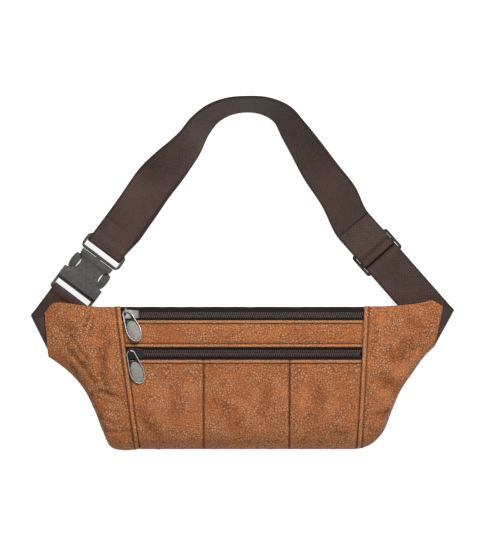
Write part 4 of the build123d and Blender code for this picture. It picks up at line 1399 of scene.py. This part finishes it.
def ring_piece(name, loops, low, high, soft, material, turn):
    """A flat piece filled between closed outlines, with rounded edges, put in place."""
    curve = bpy.data.curves.new(name, "CURVE")
    curve.dimensions = "2D"
    curve.fill_mode = "BOTH"
    curve.extrude = (high - low) / 2 - soft
    curve.bevel_depth = soft
    curve.bevel_resolution = 2
    curve.offset = -soft
    for loop in loops:
        spline = curve.splines.new("POLY")
        spline.points.add(len(loop) - 1)
        level = loop[:, :1] * 0
        spline.points.foreach_set("co", np.column_stack([loop, level, level + 1]).ravel())
        spline.use_cyclic_u = True
    piece = bpy.data.objects.new(name, curve)
    bpy.context.scene.collection.objects.link(piece)
    bpy.context.view_layer.update()
    graph = bpy.context.evaluated_depsgraph_get()
    mesh = bpy.data.meshes.new_from_object(piece.evaluated_get(graph))
    bpy.data.objects.remove(piece)
    shape = bmesh.new()
    shape.from_mesh(mesh)
    bmesh.ops.remove_doubles(shape, verts=shape.verts, dist=0.002 * MM)
    bmesh.ops.recalc_face_normals(shape, faces=shape.faces)
    shape.to_mesh(mesh)
    shape.free()
    mesh.transform(turn @ Matrix.Translation((0, 0, (low + high) / 2)))
    mesh.materials.clear()
    mesh.materials.append(material)
    mesh.shade_smooth()
    mesh.set_sharp_from_angle(angle=radians(50))
    made = bpy.data.objects.new(name, mesh)
    bpy.context.scene.collection.objects.link(made)
    return made


def make_pulls():
    """Drop-shaped zip pulls: a looped plate with a raised rim round a plain satin oval."""
    metal, dark, bright = (materials()[name] for name in ("Gunmetal", "Black nickel", "Bright rim"))
    rim, neck, hole_half, margin = 0.7 * MM, 4.1 * MM, 4.8 * MM, 0.65 * MM
    for name in ZIPS:
        node = f"{name}_pull"
        middle, down, side, out, half = principal_frame(node)
        length, tip, thick = 2 * half[0], half[1], 2 * half[2]
        turn = Matrix.Identity(4)
        for column, way in enumerate((down, side, out, middle)):
            for row in range(3):
                turn[row][column] = way[row]
        outline = drop_outline(neck, tip, length, 0)
        inner = drop_outline(neck, tip, length, rim)
        angle = np.linspace(0, 2 * pi, 48, endpoint=False)
        round_way = np.stack([np.cos(angle), np.sin(angle)], 1)
        hole_size = np.array([hole_half, neck - rim])
        hole = np.array([rim + hole_half - length / 2, 0]) + round_way * hole_size
        oval_half = length / 2 - rim - hole_half - 0.8 * MM
        oval_size = np.array([oval_half, tip - rim - margin])
        oval = np.array([length / 2 - rim - margin - oval_half, 0]) + round_way * oval_size
        plate = ring_piece(
            node + "_plate", [outline, hole], -thick / 2, -thick * 0.1, 0.1 * MM, dark, turn
        )
        edge = ring_piece(
            node + "_rim", [outline, inner], -thick / 2, thick / 2, 0.25 * MM, bright, turn
        )
        face = ring_piece(node + "_face", [oval], -thick * 0.3, thick * 0.3, 0.16 * MM, metal, turn)
        for piece in (plate, edge, face):
            settle(piece, "zip_metal", node)


def make_sliders():
    """Zip sliders with the soft corners of a casting, the main one a lighter grey."""
    for node, finish in (("main_zip_slider", "Grey nickel"), ("front_zip_slider", "Black nickel")):
        cast = softened(node, node + "_cast", 0.25 * MM, materials()[finish])
        settle(cast, "zip_metal", node)


MOULDED_CORNER = 0.7 * MM


def make_buckle():
    """The side-release buckle: its socket, its plug and the plug's two sprung arms."""
    plastic = materials()["Buckle plastic"]
    for node, width in (
        ("buckle_socket", MOULDED_CORNER), ("buckle_plug", MOULDED_CORNER),
        ("plug_arm_left", MOULDED_CORNER / 2), ("plug_arm_right", MOULDED_CORNER / 2),
    ):
        settle(softened(node, node + "_moulding", width, plastic), "buckle_plastic", node)


def make_adjuster():
    """The strap adjuster, a frame with a bar across its middle."""
    plastic = materials()["Adjuster plastic"]
    moulding = softened("tri_glide", "tri_glide_moulding", MOULDED_CORNER, plastic)
    settle(moulding, "adjuster_plastic", "tri_glide")


# === belt =========================================================================================
LEG_Z = 5.2
BUCKLE = (-145.0, 98.4)
BUCKLE_HEADING = 53.0
LEFT_EXIT = (180.0, 40.3)
RIGHT_FOLD = (187.5, 46.5)
RIGHT_EXIT_HEADING = -9.0
GLIDE = (125.1, 117.3)
SOCKET_BAR = 26.0
PLUG_BAR = 25.8
SOCKET_BAR_WIDTH = 4.6
PLUG_BAR_WIDTH = 7.4
BAR_THICK = 2.2
WEBBING_WIDTH = 37.0
LAYER_GAP = 0.1
ARCH_EDGES = [
    (104.0, 179.0, 73.8, 160.5),
    (86.0, 201.5, 56.5, 187.0),
    (71.0, 220.5, 46.5, 206.5),
    (56.0, 238.5, 36.5, 225.5),
    (43.0, 252.0, 29.5, 239.5),
    (25.0, 259.5, 18.5, 246.5),
    (2.0, 261.0, 2.5, 249.0),
    (-17.0, 259.0, -12.5, 246.0),
    (-33.0, 253.0, -24.0, 239.0),
    (-46.5, 243.0, -32.5, 227.5),
    (-60.0, 228.0, -41.0, 209.0),
    (-79.0, 212.5, -52.0, 192.5),
    (-98.0, 194.5, -69.0, 171.0),
    (-114.4, 170.4, -85.2, 148.4),
]
ARCH_START, ARCH_END = 34.0, 52.0
ARCH_FLOOR = 1.6
SPLIT_SHARE = 0.70
STRAP_UNDER = [
    (-24.0, 0.0), (-13.0, 2.15), (-8.0, 2.15), (-4.6, -3.55), (4.6, -3.55), (8.0, 2.15),
    (13.0, 2.15), (22.0, -1.0), (34.0, -0.7),
]
STRAP_OVER = [
    (34.0, 0.7), (23.5, 1.9), (14.0, 4.95), (6.6, 4.95), (3.0, 2.4), (2.3, 2.15), (-2.4, 2.15),
    (-3.1, 1.4), (-3.1, -1.4), (-2.4, -2.15), (3.6, -2.15), (7.0, 3.5), (13.0, 3.5), (22.0, 0.45),
]


def strap_widths():
    """Places across the webbing, short of its rounded edges."""
    sizes = bpy.context.scene.pack_sizes
    half = sizes.webbing_width / 2 - sizes.webbing / 2
    return np.linspace(-half, half, 21)


class Strap:
    """A strap being laid: its middle line, its way across and its face, row by row."""

    def __init__(self, start=0.0):
        self.rows = []
        self.faces = []
        self.lengths = []
        self.start = start

    def lay(self, grid, faces):
        """Add rows of points over the strap's middle, with the way its face looks."""
        last = self.rows[-1] if self.rows else None
        for points, ways in zip(grid, faces):
            middle = points[len(points) // 2]
            step = np.linalg.norm(middle - last[len(last) // 2]) if last is not None else 0.0
            if last is not None and step < 0.25 * MM:
                continue
            self.lengths.append((self.lengths[-1] if self.lengths else self.start) + step)
            self.rows.append(points)
            self.faces.append(ways)
            last = points

    def run(self, middle, across):
        """Add a stretch by its middle line and the way across it at each point."""
        travel = unit(np.gradient(middle, axis=0))
        faces = unit(np.cross(across, travel))
        widths = strap_widths()
        grid = middle[:, None, :] + across[:, None, :] * widths[None, :, None]
        self.lay(grid, np.broadcast_to(faces[:, None, :], grid.shape))

    def sheet(self):
        """The strap's upper face as a grid for a slab."""
        grid, faces = np.array(self.rows), np.array(self.faces)
        flat = np.stack(
            np.broadcast_arrays(np.array(self.lengths)[:, None], strap_widths()[None, :]), -1
        )
        thick = bpy.context.scene.pack_sizes.webbing
        return grid + faces * thick / 2, faces, flat, np.zeros(grid.shape[:2])


def side_route(origin, along, route, ahead, softness=1.1):
    """A stretch of strap in an upright plane: (length, height) points in mm, eased."""
    line = rounded_route(np.array(route, float), 0.6, softness) * MM
    middle = origin + along * line[:, :1] + UP * line[:, 1:]
    across = np.broadcast_to(np.cross(UP, ahead), middle.shape)
    return middle, across


def lay_fold(strap, corner, exit_angle, leg_angle, inside):
    """A strap coming out of a wing and folded down on the skew, back under the wing."""
    sizes = bpy.context.scene.pack_sizes
    side = 1 if exit_angle > leg_angle else -1
    fold_angle = (exit_angle + leg_angle) / 2
    outward, axis = heading(fold_angle + 90 * side), heading(fold_angle)
    radius = (WING_STRAP_Z - LEG_Z) / 2 * MM
    reach = radius + sizes.webbing / 2
    out_way, leg_way = heading(exit_angle), heading(leg_angle)
    out_across = heading(exit_angle - 90)
    slant, drift = out_way @ outward, out_way @ axis
    arc = pi * radius / 2
    slip = (arc - reach) * drift / slant
    first = -inside - (arc - reach) / slant
    last = (20 * MM * slant + arc - reach) / slant
    lengths = np.arange(first, last, 0.9 * MM)
    l, w = np.meshgrid(lengths, strap_widths(), indexing="ij")
    a = l * slant + w * (out_across @ outward)
    b = l * drift + w * (out_across @ axis) - slip * np.clip(a / arc, -1, 1)
    turn = np.clip(a / radius + pi / 2, 0, pi)
    past = np.where(np.abs(a) > arc, np.abs(a) - arc, 0)
    level = (LEG_Z * MM + radius) + radius * np.cos(turn)
    off = -reach + radius * np.sin(turn) - past
    base = np.array([corner[0] * MM, corner[1] * MM, 0])
    grid = base + off[..., None] * outward + b[..., None] * axis + level[..., None] * UP
    faces = np.sin(turn)[..., None] * outward + np.cos(turn)[..., None] * UP
    strap.lay(grid, faces)
    return leg_way


def arch_lines():
    """Middle line and way across of the arch, from the adjuster's side to the buckle's."""
    leg = leg_heading()
    half = WEBBING_WIDTH / 2
    edges = []
    for length in (ARCH_START - 24, ARCH_START - 12, ARCH_START):
        middle = np.array(GLIDE) + heading(leg)[:2] * length
        side = heading(leg - 90)[:2] * half
        edges.append([*(middle + side), *(middle - side)])
    edges += ARCH_EDGES
    for length in (ARCH_END, ARCH_END - 12, ARCH_END - 24):
        middle = np.array(BUCKLE) + heading(BUCKLE_HEADING)[:2] * length
        side = heading(BUCKLE_HEADING + 90)[:2] * half
        edges.append([*(middle + side), *(middle - side)])
    edges = np.array(edges, float)
    knots = lengths_along((edges[:, :2] + edges[:, 2:]) / 2)
    at = np.arange(knots[2], knots[-3], 2.0)
    smooth = through(knots, edges, at)
    spread = smooth[:, 2:] - smooth[:, :2]
    rise = np.sqrt(np.clip(WEBBING_WIDTH**2 - np.sum(spread**2, 1), 0, None))
    weights = np.exp(-0.5 * (np.arange(-8, 9) / 4.0) ** 2)
    rise = np.convolve(np.pad(rise, 8), weights / weights.sum(), mode="valid")
    inner = LEG_Z - (LEG_Z - ARCH_FLOOR) * rise / WEBBING_WIDTH
    middle = np.column_stack([(smooth[:, :2] + smooth[:, 2:]) / 2, inner + rise / 2]) * MM
    across = unit(np.column_stack([spread, -rise]))
    return middle, across


def leg_heading():
    """Heading of the strap from the right wing's fold to the adjuster."""
    way = np.array(GLIDE) - np.array(RIGHT_FOLD)
    return np.degrees(np.arctan2(way[1], way[0]))


def layer(middle, across, side, shift=0.0):
    """One of the arch's two layers: side is 1 for the upper one, -1 for the lower one."""
    sizes = bpy.context.scene.pack_sizes
    up = unit(np.cross(unit(np.gradient(middle, axis=0)), across))
    return middle + up * side * (sizes.webbing + LAYER_GAP * MM) / 2 + across * shift


# in mm: gap at a bar, length of the taper behind it, size of the turn, and each doubled layer's height
BAR_GAP, BAR_TAPER, BAR_TURN, DOUBLED = 0.25, 3.0, 1.0, 0.7


def bar_route(bar, width, outer_end, step_in):
    """(length, height) of a strap that comes in over a bar, turns round it and leaves under it."""
    wrap = BAR_GAP + bpy.context.scene.pack_sizes.webbing / MM / 2
    lift = BAR_THICK / 2 + wrap
    near, far = bar - wrap, bar + width + wrap
    closed = far + BAR_TAPER
    turn = near + BAR_TURN
    return [
        (outer_end, DOUBLED), (closed, DOUBLED), (far, lift), (turn, lift), (near, lift - BAR_TURN),
        (near, BAR_TURN - lift), (turn, -lift), (far, -lift), (closed, -DOUBLED), (step_in, -DOUBLED),
    ]


def make_short_strap():
    """Webbing from the left wing, folded, and looped round the socket's bar."""
    strap = Strap()
    run = (BUCKLE[1] - LEFT_EXIT[1]) / sin(radians(BUCKLE_HEADING))
    corner = (BUCKLE[0] - run * cos(radians(BUCKLE_HEADING)), LEFT_EXIT[1])
    ahead = lay_fold(strap, corner, LEFT_EXIT[0], BUCKLE_HEADING, 14 * MM)
    origin = np.array([BUCKLE[0], BUCKLE[1], LEG_Z]) * MM
    single = run - 20.0
    route = [(single, 0.0)] + bar_route(SOCKET_BAR, SOCKET_BAR_WIDTH, single - 6.0, single - 8.0)
    middle, across = side_route(origin, -ahead, route, ahead)
    strap.run(middle, across)
    piece = sheet_piece(
        "short_strap_webbing", [strap.sheet()], bpy.context.scene.pack_sizes.webbing,
        materials()["Webbing"],
    )
    settle(piece, "webbing", "short_strap")


def make_long_strap():
    """Webbing from the right wing through the adjuster, round the plug's bar and back."""
    sizes = bpy.context.scene.pack_sizes
    webbing = materials()["Webbing"]
    leg = leg_heading()
    ahead = heading(leg)
    glide = np.array([*GLIDE, LEG_Z]) * MM
    run = np.linalg.norm(np.array(GLIDE) - np.array(RIGHT_FOLD))

    wing_side = Strap()
    lay_fold(wing_side, RIGHT_FOLD, RIGHT_EXIT_HEADING, leg, 14 * MM)
    under = rounded_route(np.array([(20.0 - run, 0.0)] + STRAP_UNDER), 0.6, 1.1)
    middle = glide + ahead * under[:, :1] * MM + UP * under[:, 1:] * MM
    across = np.broadcast_to(heading(leg + 90), middle.shape)
    before = under[:, 0] <= 0.3
    wing_side.run(middle[before], across[before])

    arch, arch_across = arch_lines()
    split = int(len(arch) * SPLIT_SHARE)
    inward = 2.2 * MM * ease(np.arange(len(arch)), split * 0.8, len(arch) - 12)
    inward = inward[:, None]
    low = layer(arch, arch_across, -1, inward)
    high = layer(arch, arch_across, 1)

    lower = Strap(wing_side.lengths[-1])
    lower.run(middle[~before], across[~before])
    lower.run(low[:split], arch_across[:split])

    over = Strap(1.0)
    back = slice(None, None, -1)
    over.run(high[:split][back], arch_across[:split][back])
    route = rounded_route(np.array(STRAP_OVER), 0.6, 0.9)
    over_middle = glide + ahead * route[:, :1] * MM + UP * route[:, 1:] * MM
    over.run(over_middle, np.broadcast_to(heading(leg + 90), over_middle.shape))

    loop = Strap(lower.lengths[-1])
    tuck = UP * 0.05 * MM
    overlap = split - 2
    loop.run(low[overlap:] - tuck, arch_across[overlap:])
    origin = np.array([*BUCKLE, LEG_Z]) * MM
    route = bar_route(PLUG_BAR, PLUG_BAR_WIDTH, ARCH_END, ARCH_END)
    way = heading(BUCKLE_HEADING)
    inner_way = heading(BUCKLE_HEADING - 90)
    line = rounded_route(np.array(route), 0.6, 1.0)[::-1] * MM
    side_shift = np.interp(np.cumsum(np.ones(len(line))), [0, 30, 31], [1, 0, 0])[:, None]
    bar_middle = origin + way * line[:, :1] + UP * line[:, 1:] + inner_way * side_shift * inward[-1]
    loop.run(bar_middle, np.broadcast_to(inner_way, bar_middle.shape))
    loop.run(high[overlap:][back] - tuck, arch_across[overlap:][back])

    wing_piece = sheet_piece("long_strap_wing_side", [wing_side.sheet()], sizes.webbing, webbing)
    right_piece = sheet_piece(
        "long_strap_adjuster_side", [lower.sheet(), over.sheet()], sizes.webbing, webbing
    )
    left_piece = sheet_piece("long_strap_buckle_side", [loop.sheet()], sizes.webbing, webbing)
    for piece in (wing_piece, right_piece, left_piece):
        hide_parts("long_strap")
    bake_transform(wing_piece)
    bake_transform(right_piece)
    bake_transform(left_piece)
    make_belt_stitching(glide, ahead)


def make_belt_stitching(glide, ahead):
    """The stitched end of the long strap, beside the adjuster."""
    side = np.cross(UP, ahead)
    widths = np.linspace(-17.6, 17.6, 24)[:, None] * MM
    rows = []
    for place, level in ((19.2, 3.55), (20.6, 3.2)):
        row = glide + ahead * place * MM + side * widths + UP * level * MM
        rows.append((row, np.broadcast_to(UP, row.shape)))
    sew("belt_stitching", rows, "Belt thread", "tri_glide", 2.4 * MM, 2.0 * MM, 0.3 * MM)


# === stage ========================================================================================
VIEW_CENTRE = (-0.5, 96.3)
VIEW_HEIGHT = 511.5
VIEW_LEVEL = 16.0
CAMERA_LENS = 250.0
SENSOR = 36.0


def area_lamp(name, place, target, size, energy, colour):
    """A square soft lamp aimed at a point."""
    light = bpy.data.lights.new(name, "AREA")
    light.shape = "SQUARE"
    light.size = size
    light.energy = energy
    light.color = colour
    lamp = bpy.data.objects.new(name, light)
    lamp.location = place
    lamp.rotation_euler = (Vector(target) - Vector(place)).to_track_quat("-Z", "Y").to_euler()
    bpy.context.scene.collection.objects.link(lamp)


def make_stage():
    """Camera, plain white floor, studio light and white surroundings."""
    scene = bpy.context.scene
    centre = Vector((VIEW_CENTRE[0] * MM, VIEW_CENTRE[1] * MM, VIEW_LEVEL * MM))
    camera_data = bpy.data.cameras.new("Camera")
    camera_data.sensor_fit = "VERTICAL"
    camera_data.sensor_height = SENSOR
    camera_data.lens = CAMERA_LENS
    camera = bpy.data.objects.new("Camera", camera_data)
    distance = VIEW_HEIGHT * MM * CAMERA_LENS / SENSOR
    camera.location = centre + Vector((0, 0, distance))
    scene.collection.objects.link(camera)
    scene.camera = camera

    floor_level = min(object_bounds()[0][2], 0.0) - 0.05 * MM
    mesh = bpy.data.meshes.new("floor")
    half = 3.0
    mesh.from_pydata(
        [(-half, -half, floor_level), (half, -half, floor_level), (half, half, floor_level),
         (-half, half, floor_level)], [], [(0, 1, 2, 3)],
    )
    floor = bpy.data.objects.new("floor", mesh)
    scene.collection.objects.link(floor)
    paper = bpy.data.materials.new("Floor paper")
    paper.use_nodes = True
    paper.node_tree.nodes.clear()
    graph = Graph(paper.node_tree)
    path = graph.node("ShaderNodeLightPath").outputs
    seen = graph.math("MAXIMUM", path["Is Camera Ray"], graph.math(
        "MAXIMUM", path["Is Glossy Ray"], path["Is Transmission Ray"]
    ))
    matte = graph.node("ShaderNodeBsdfDiffuse", {"Color": (0.8, 0.8, 0.8, 1)}).outputs[0]
    shown = graph.node("ShaderNodeBsdfDiffuse", {"Color": (0.4, 0.4, 0.4, 1)}).outputs[0]
    glow = graph.node("ShaderNodeEmission", {"Color": (1, 1, 1, 1), "Strength": 0.84}).outputs[0]
    lit = graph.node("ShaderNodeAddShader", {0: shown, 1: glow}).outputs[0]
    mixed = graph.node("ShaderNodeMixShader", {0: seen, 1: matte, 2: lit}).outputs[0]
    out = graph.node("ShaderNodeOutputMaterial")
    paper.node_tree.links.new(mixed, out.inputs["Surface"])
    mesh.materials.append(paper)
    floor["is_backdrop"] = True

    world = bpy.data.worlds.new("Studio")
    scene.world = world
    world.use_nodes = True
    world.node_tree.nodes.clear()
    graph = Graph(world.node_tree)
    path = graph.node("ShaderNodeLightPath").outputs
    seen = graph.math("MAXIMUM", path["Is Camera Ray"], path["Is Transmission Ray"])
    strength = graph.spread(seen, 0.0, 1.0, 0.28, 1.0)
    sky = graph.node("ShaderNodeBackground", {"Color": (1, 1, 1, 1), "Strength": strength})
    out = graph.node("ShaderNodeOutputWorld")
    world.node_tree.links.new(sky.outputs[0], out.inputs["Surface"])

    area_lamp("Key", (0.35, 1.25, 1.2), (0, 0.08, 0), 0.45, 40.0, (1.0, 0.98, 0.95))
    area_lamp("Fill", (0.2, -1.0, 1.2), (0, 0.0, 0), 1.2, 13.0, (0.96, 0.98, 1.0))
    scene.view_settings.view_transform = "Standard"


# === add-on =======================================================================================
def length(label, about, default):
    """A length that a user can change."""
    return FloatProperty(
        name=label, description=about, default=default, min=0.00001, unit="LENGTH", precision=5
    )


def paint(label, about, default):
    """A colour that a user can change."""
    return FloatVectorProperty(
        name=label, description=about, default=default, size=3, min=0, max=1, subtype="COLOR"
    )


class PackSizes(bpy.types.PropertyGroup):
    """Sizes of the finish."""

    leather: length("Leather", "Thickness of the leather", 0.0014)
    lining: length("Lining", "Thickness of the lining cloth", 0.0005)
    tape: length("Tape", "Thickness of the zip tape", 0.0006)
    webbing: length("Webbing", "Thickness of the belt webbing", 0.0013)
    webbing_width: length("Webbing width", "Width of the belt webbing", 0.037)
    tooth_pitch: length("Tooth pitch", "Distance between two teeth of a zip", 0.00173)
    stitch_pace: length("Stitch pace", "Distance between two stitches in the leather", 0.0034)
    thread: length("Thread", "Half thickness of the leather's thread", 0.00042)
    detail: length("Detail", "Distance between the points of a leather surface", 0.0013)


class PackColours(bpy.types.PropertyGroup):
    """Colours of the finish."""

    # leather_deep also gives the painted shade in creases, crevices, seams and stitch grooves, and
    # leather_pale the painted highlight on turned edges and crease lips
    leather: paint("Leather", "Tan of most of the leather", (0.52, 0.188, 0.063))
    leather_deep: paint("Deep leather", "Tan of the darker patches", (0.385, 0.12, 0.035))
    leather_pale: paint("Pale leather", "Tan of lighter patches and edges", (0.63, 0.295, 0.145))
    # webbing, darkened, also gives the painted shade at the edges and between the yarns
    webbing: paint("Webbing", "Dark brown of the belt", (0.058, 0.030, 0.023))
    tape: paint("Zip tape", "Near black of the zip tapes", (0.0085, 0.005, 0.004))
    coil: paint("Zip coil", "Dark brown of the zip teeth", (0.062, 0.043, 0.037))
    lining: paint("Lining", "Brown of the lining cloth", (0.06, 0.04, 0.03))
    metal: paint("Metal", "Gunmetal of the zip pulls", (0.15, 0.145, 0.135))
    rim: paint("Rim", "Brighter plating of the pulls' rims", (0.36, 0.35, 0.33))
    slider: paint("Slider", "Black nickel of the zip sliders", (0.03, 0.029, 0.028))
    # painted shade standing in for the needle holes
    needle_hole_shade: paint("Needle hole", "Dark brown of the needle holes", (0.03, 0.012, 0.006))
    buckle: paint("Buckle", "Charcoal of the buckle", (0.030, 0.0295, 0.0285))
    adjuster: paint("Adjuster", "Black of the strap adjuster", (0.012, 0.012, 0.012))
    thread: paint("Thread", "Brown of the leather's thread", (0.17, 0.06, 0.026))
    belt_thread: paint("Belt thread", "Brown of the belt's thread", (0.05, 0.03, 0.024))


def operator(name, label, about, make):
    """An operator class that makes one group of pieces."""
    def execute(self, context):
        make()
        return {"FINISHED"}

    return type(
        f"WAISTPACK_OT_{name}", (bpy.types.Operator,),
        {"bl_idname": f"waistpack.{name}", "bl_label": label, "__doc__": about, "execute": execute},
    )


OPERATORS = [
    operator("centre_leather", "Centre leather", "Make the pouch's leather", make_centre_leather),
    operator("wings", "Wings", "Make the leather of both wings", make_wings),
    operator("tapes", "Zip tapes", "Make the tapes of both zips", make_tapes),
    operator("linings", "Linings", "Make the linings", make_linings),
    operator("teeth", "Zip teeth", "Make the coils of both zips", make_teeth),
    operator("sliders", "Zip sliders", "Make the sliders", make_sliders),
    operator("pulls", "Zip pulls", "Make the pulls", make_pulls),
    operator("stitching", "Stitching", "Sew the leather's edges", make_stitching),
    operator("buckle", "Buckle", "Make the side-release buckle", make_buckle),
    operator("adjuster", "Adjuster", "Make the strap adjuster", make_adjuster),
    operator("short_strap", "Short strap", "Lay the short strap", make_short_strap),
    operator("long_strap", "Long strap", "Lay the long strap", make_long_strap),
    operator("stage", "Stage", "Set the camera, the floor and the lamps", make_stage),
]


class WAISTPACK_PT_panel(bpy.types.Panel):
    """Lists the pack's sizes, colours and operators."""

    bl_idname = "WAISTPACK_PT_panel"
    bl_label = "Waist Pack"
    bl_space_type = "VIEW_3D"
    bl_region_type = "UI"
    bl_category = "Waist Pack"

    def draw(self, context):
        """Draw the sidebar."""
        for group in (context.scene.pack_sizes, context.scene.pack_colours):
            for name in group.__annotations__:
                self.layout.prop(group, name)
        for made in OPERATORS:
            self.layout.operator(made.bl_idname)


CLASSES = [PackSizes, PackColours, *OPERATORS, WAISTPACK_PT_panel]


def register():
    """Add the classes and the scene's settings."""
    for made in CLASSES:
        bpy.utils.register_class(made)
    bpy.types.Scene.pack_sizes = PointerProperty(type=PackSizes)
    bpy.types.Scene.pack_colours = PointerProperty(type=PackColours)


def unregister():
    """Take the settings and the classes away."""
    del bpy.types.Scene.pack_colours
    del bpy.types.Scene.pack_sizes
    for made in reversed(CLASSES):
        bpy.utils.unregister_class(made)


def main():
    """Make every piece in order, then write both boxes."""
    register()
    for made in OPERATORS:
        group, name = made.bl_idname.split(".")
        getattr(getattr(bpy.ops, group), name)()
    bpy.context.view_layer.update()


if __name__ == "__main__":
    main()
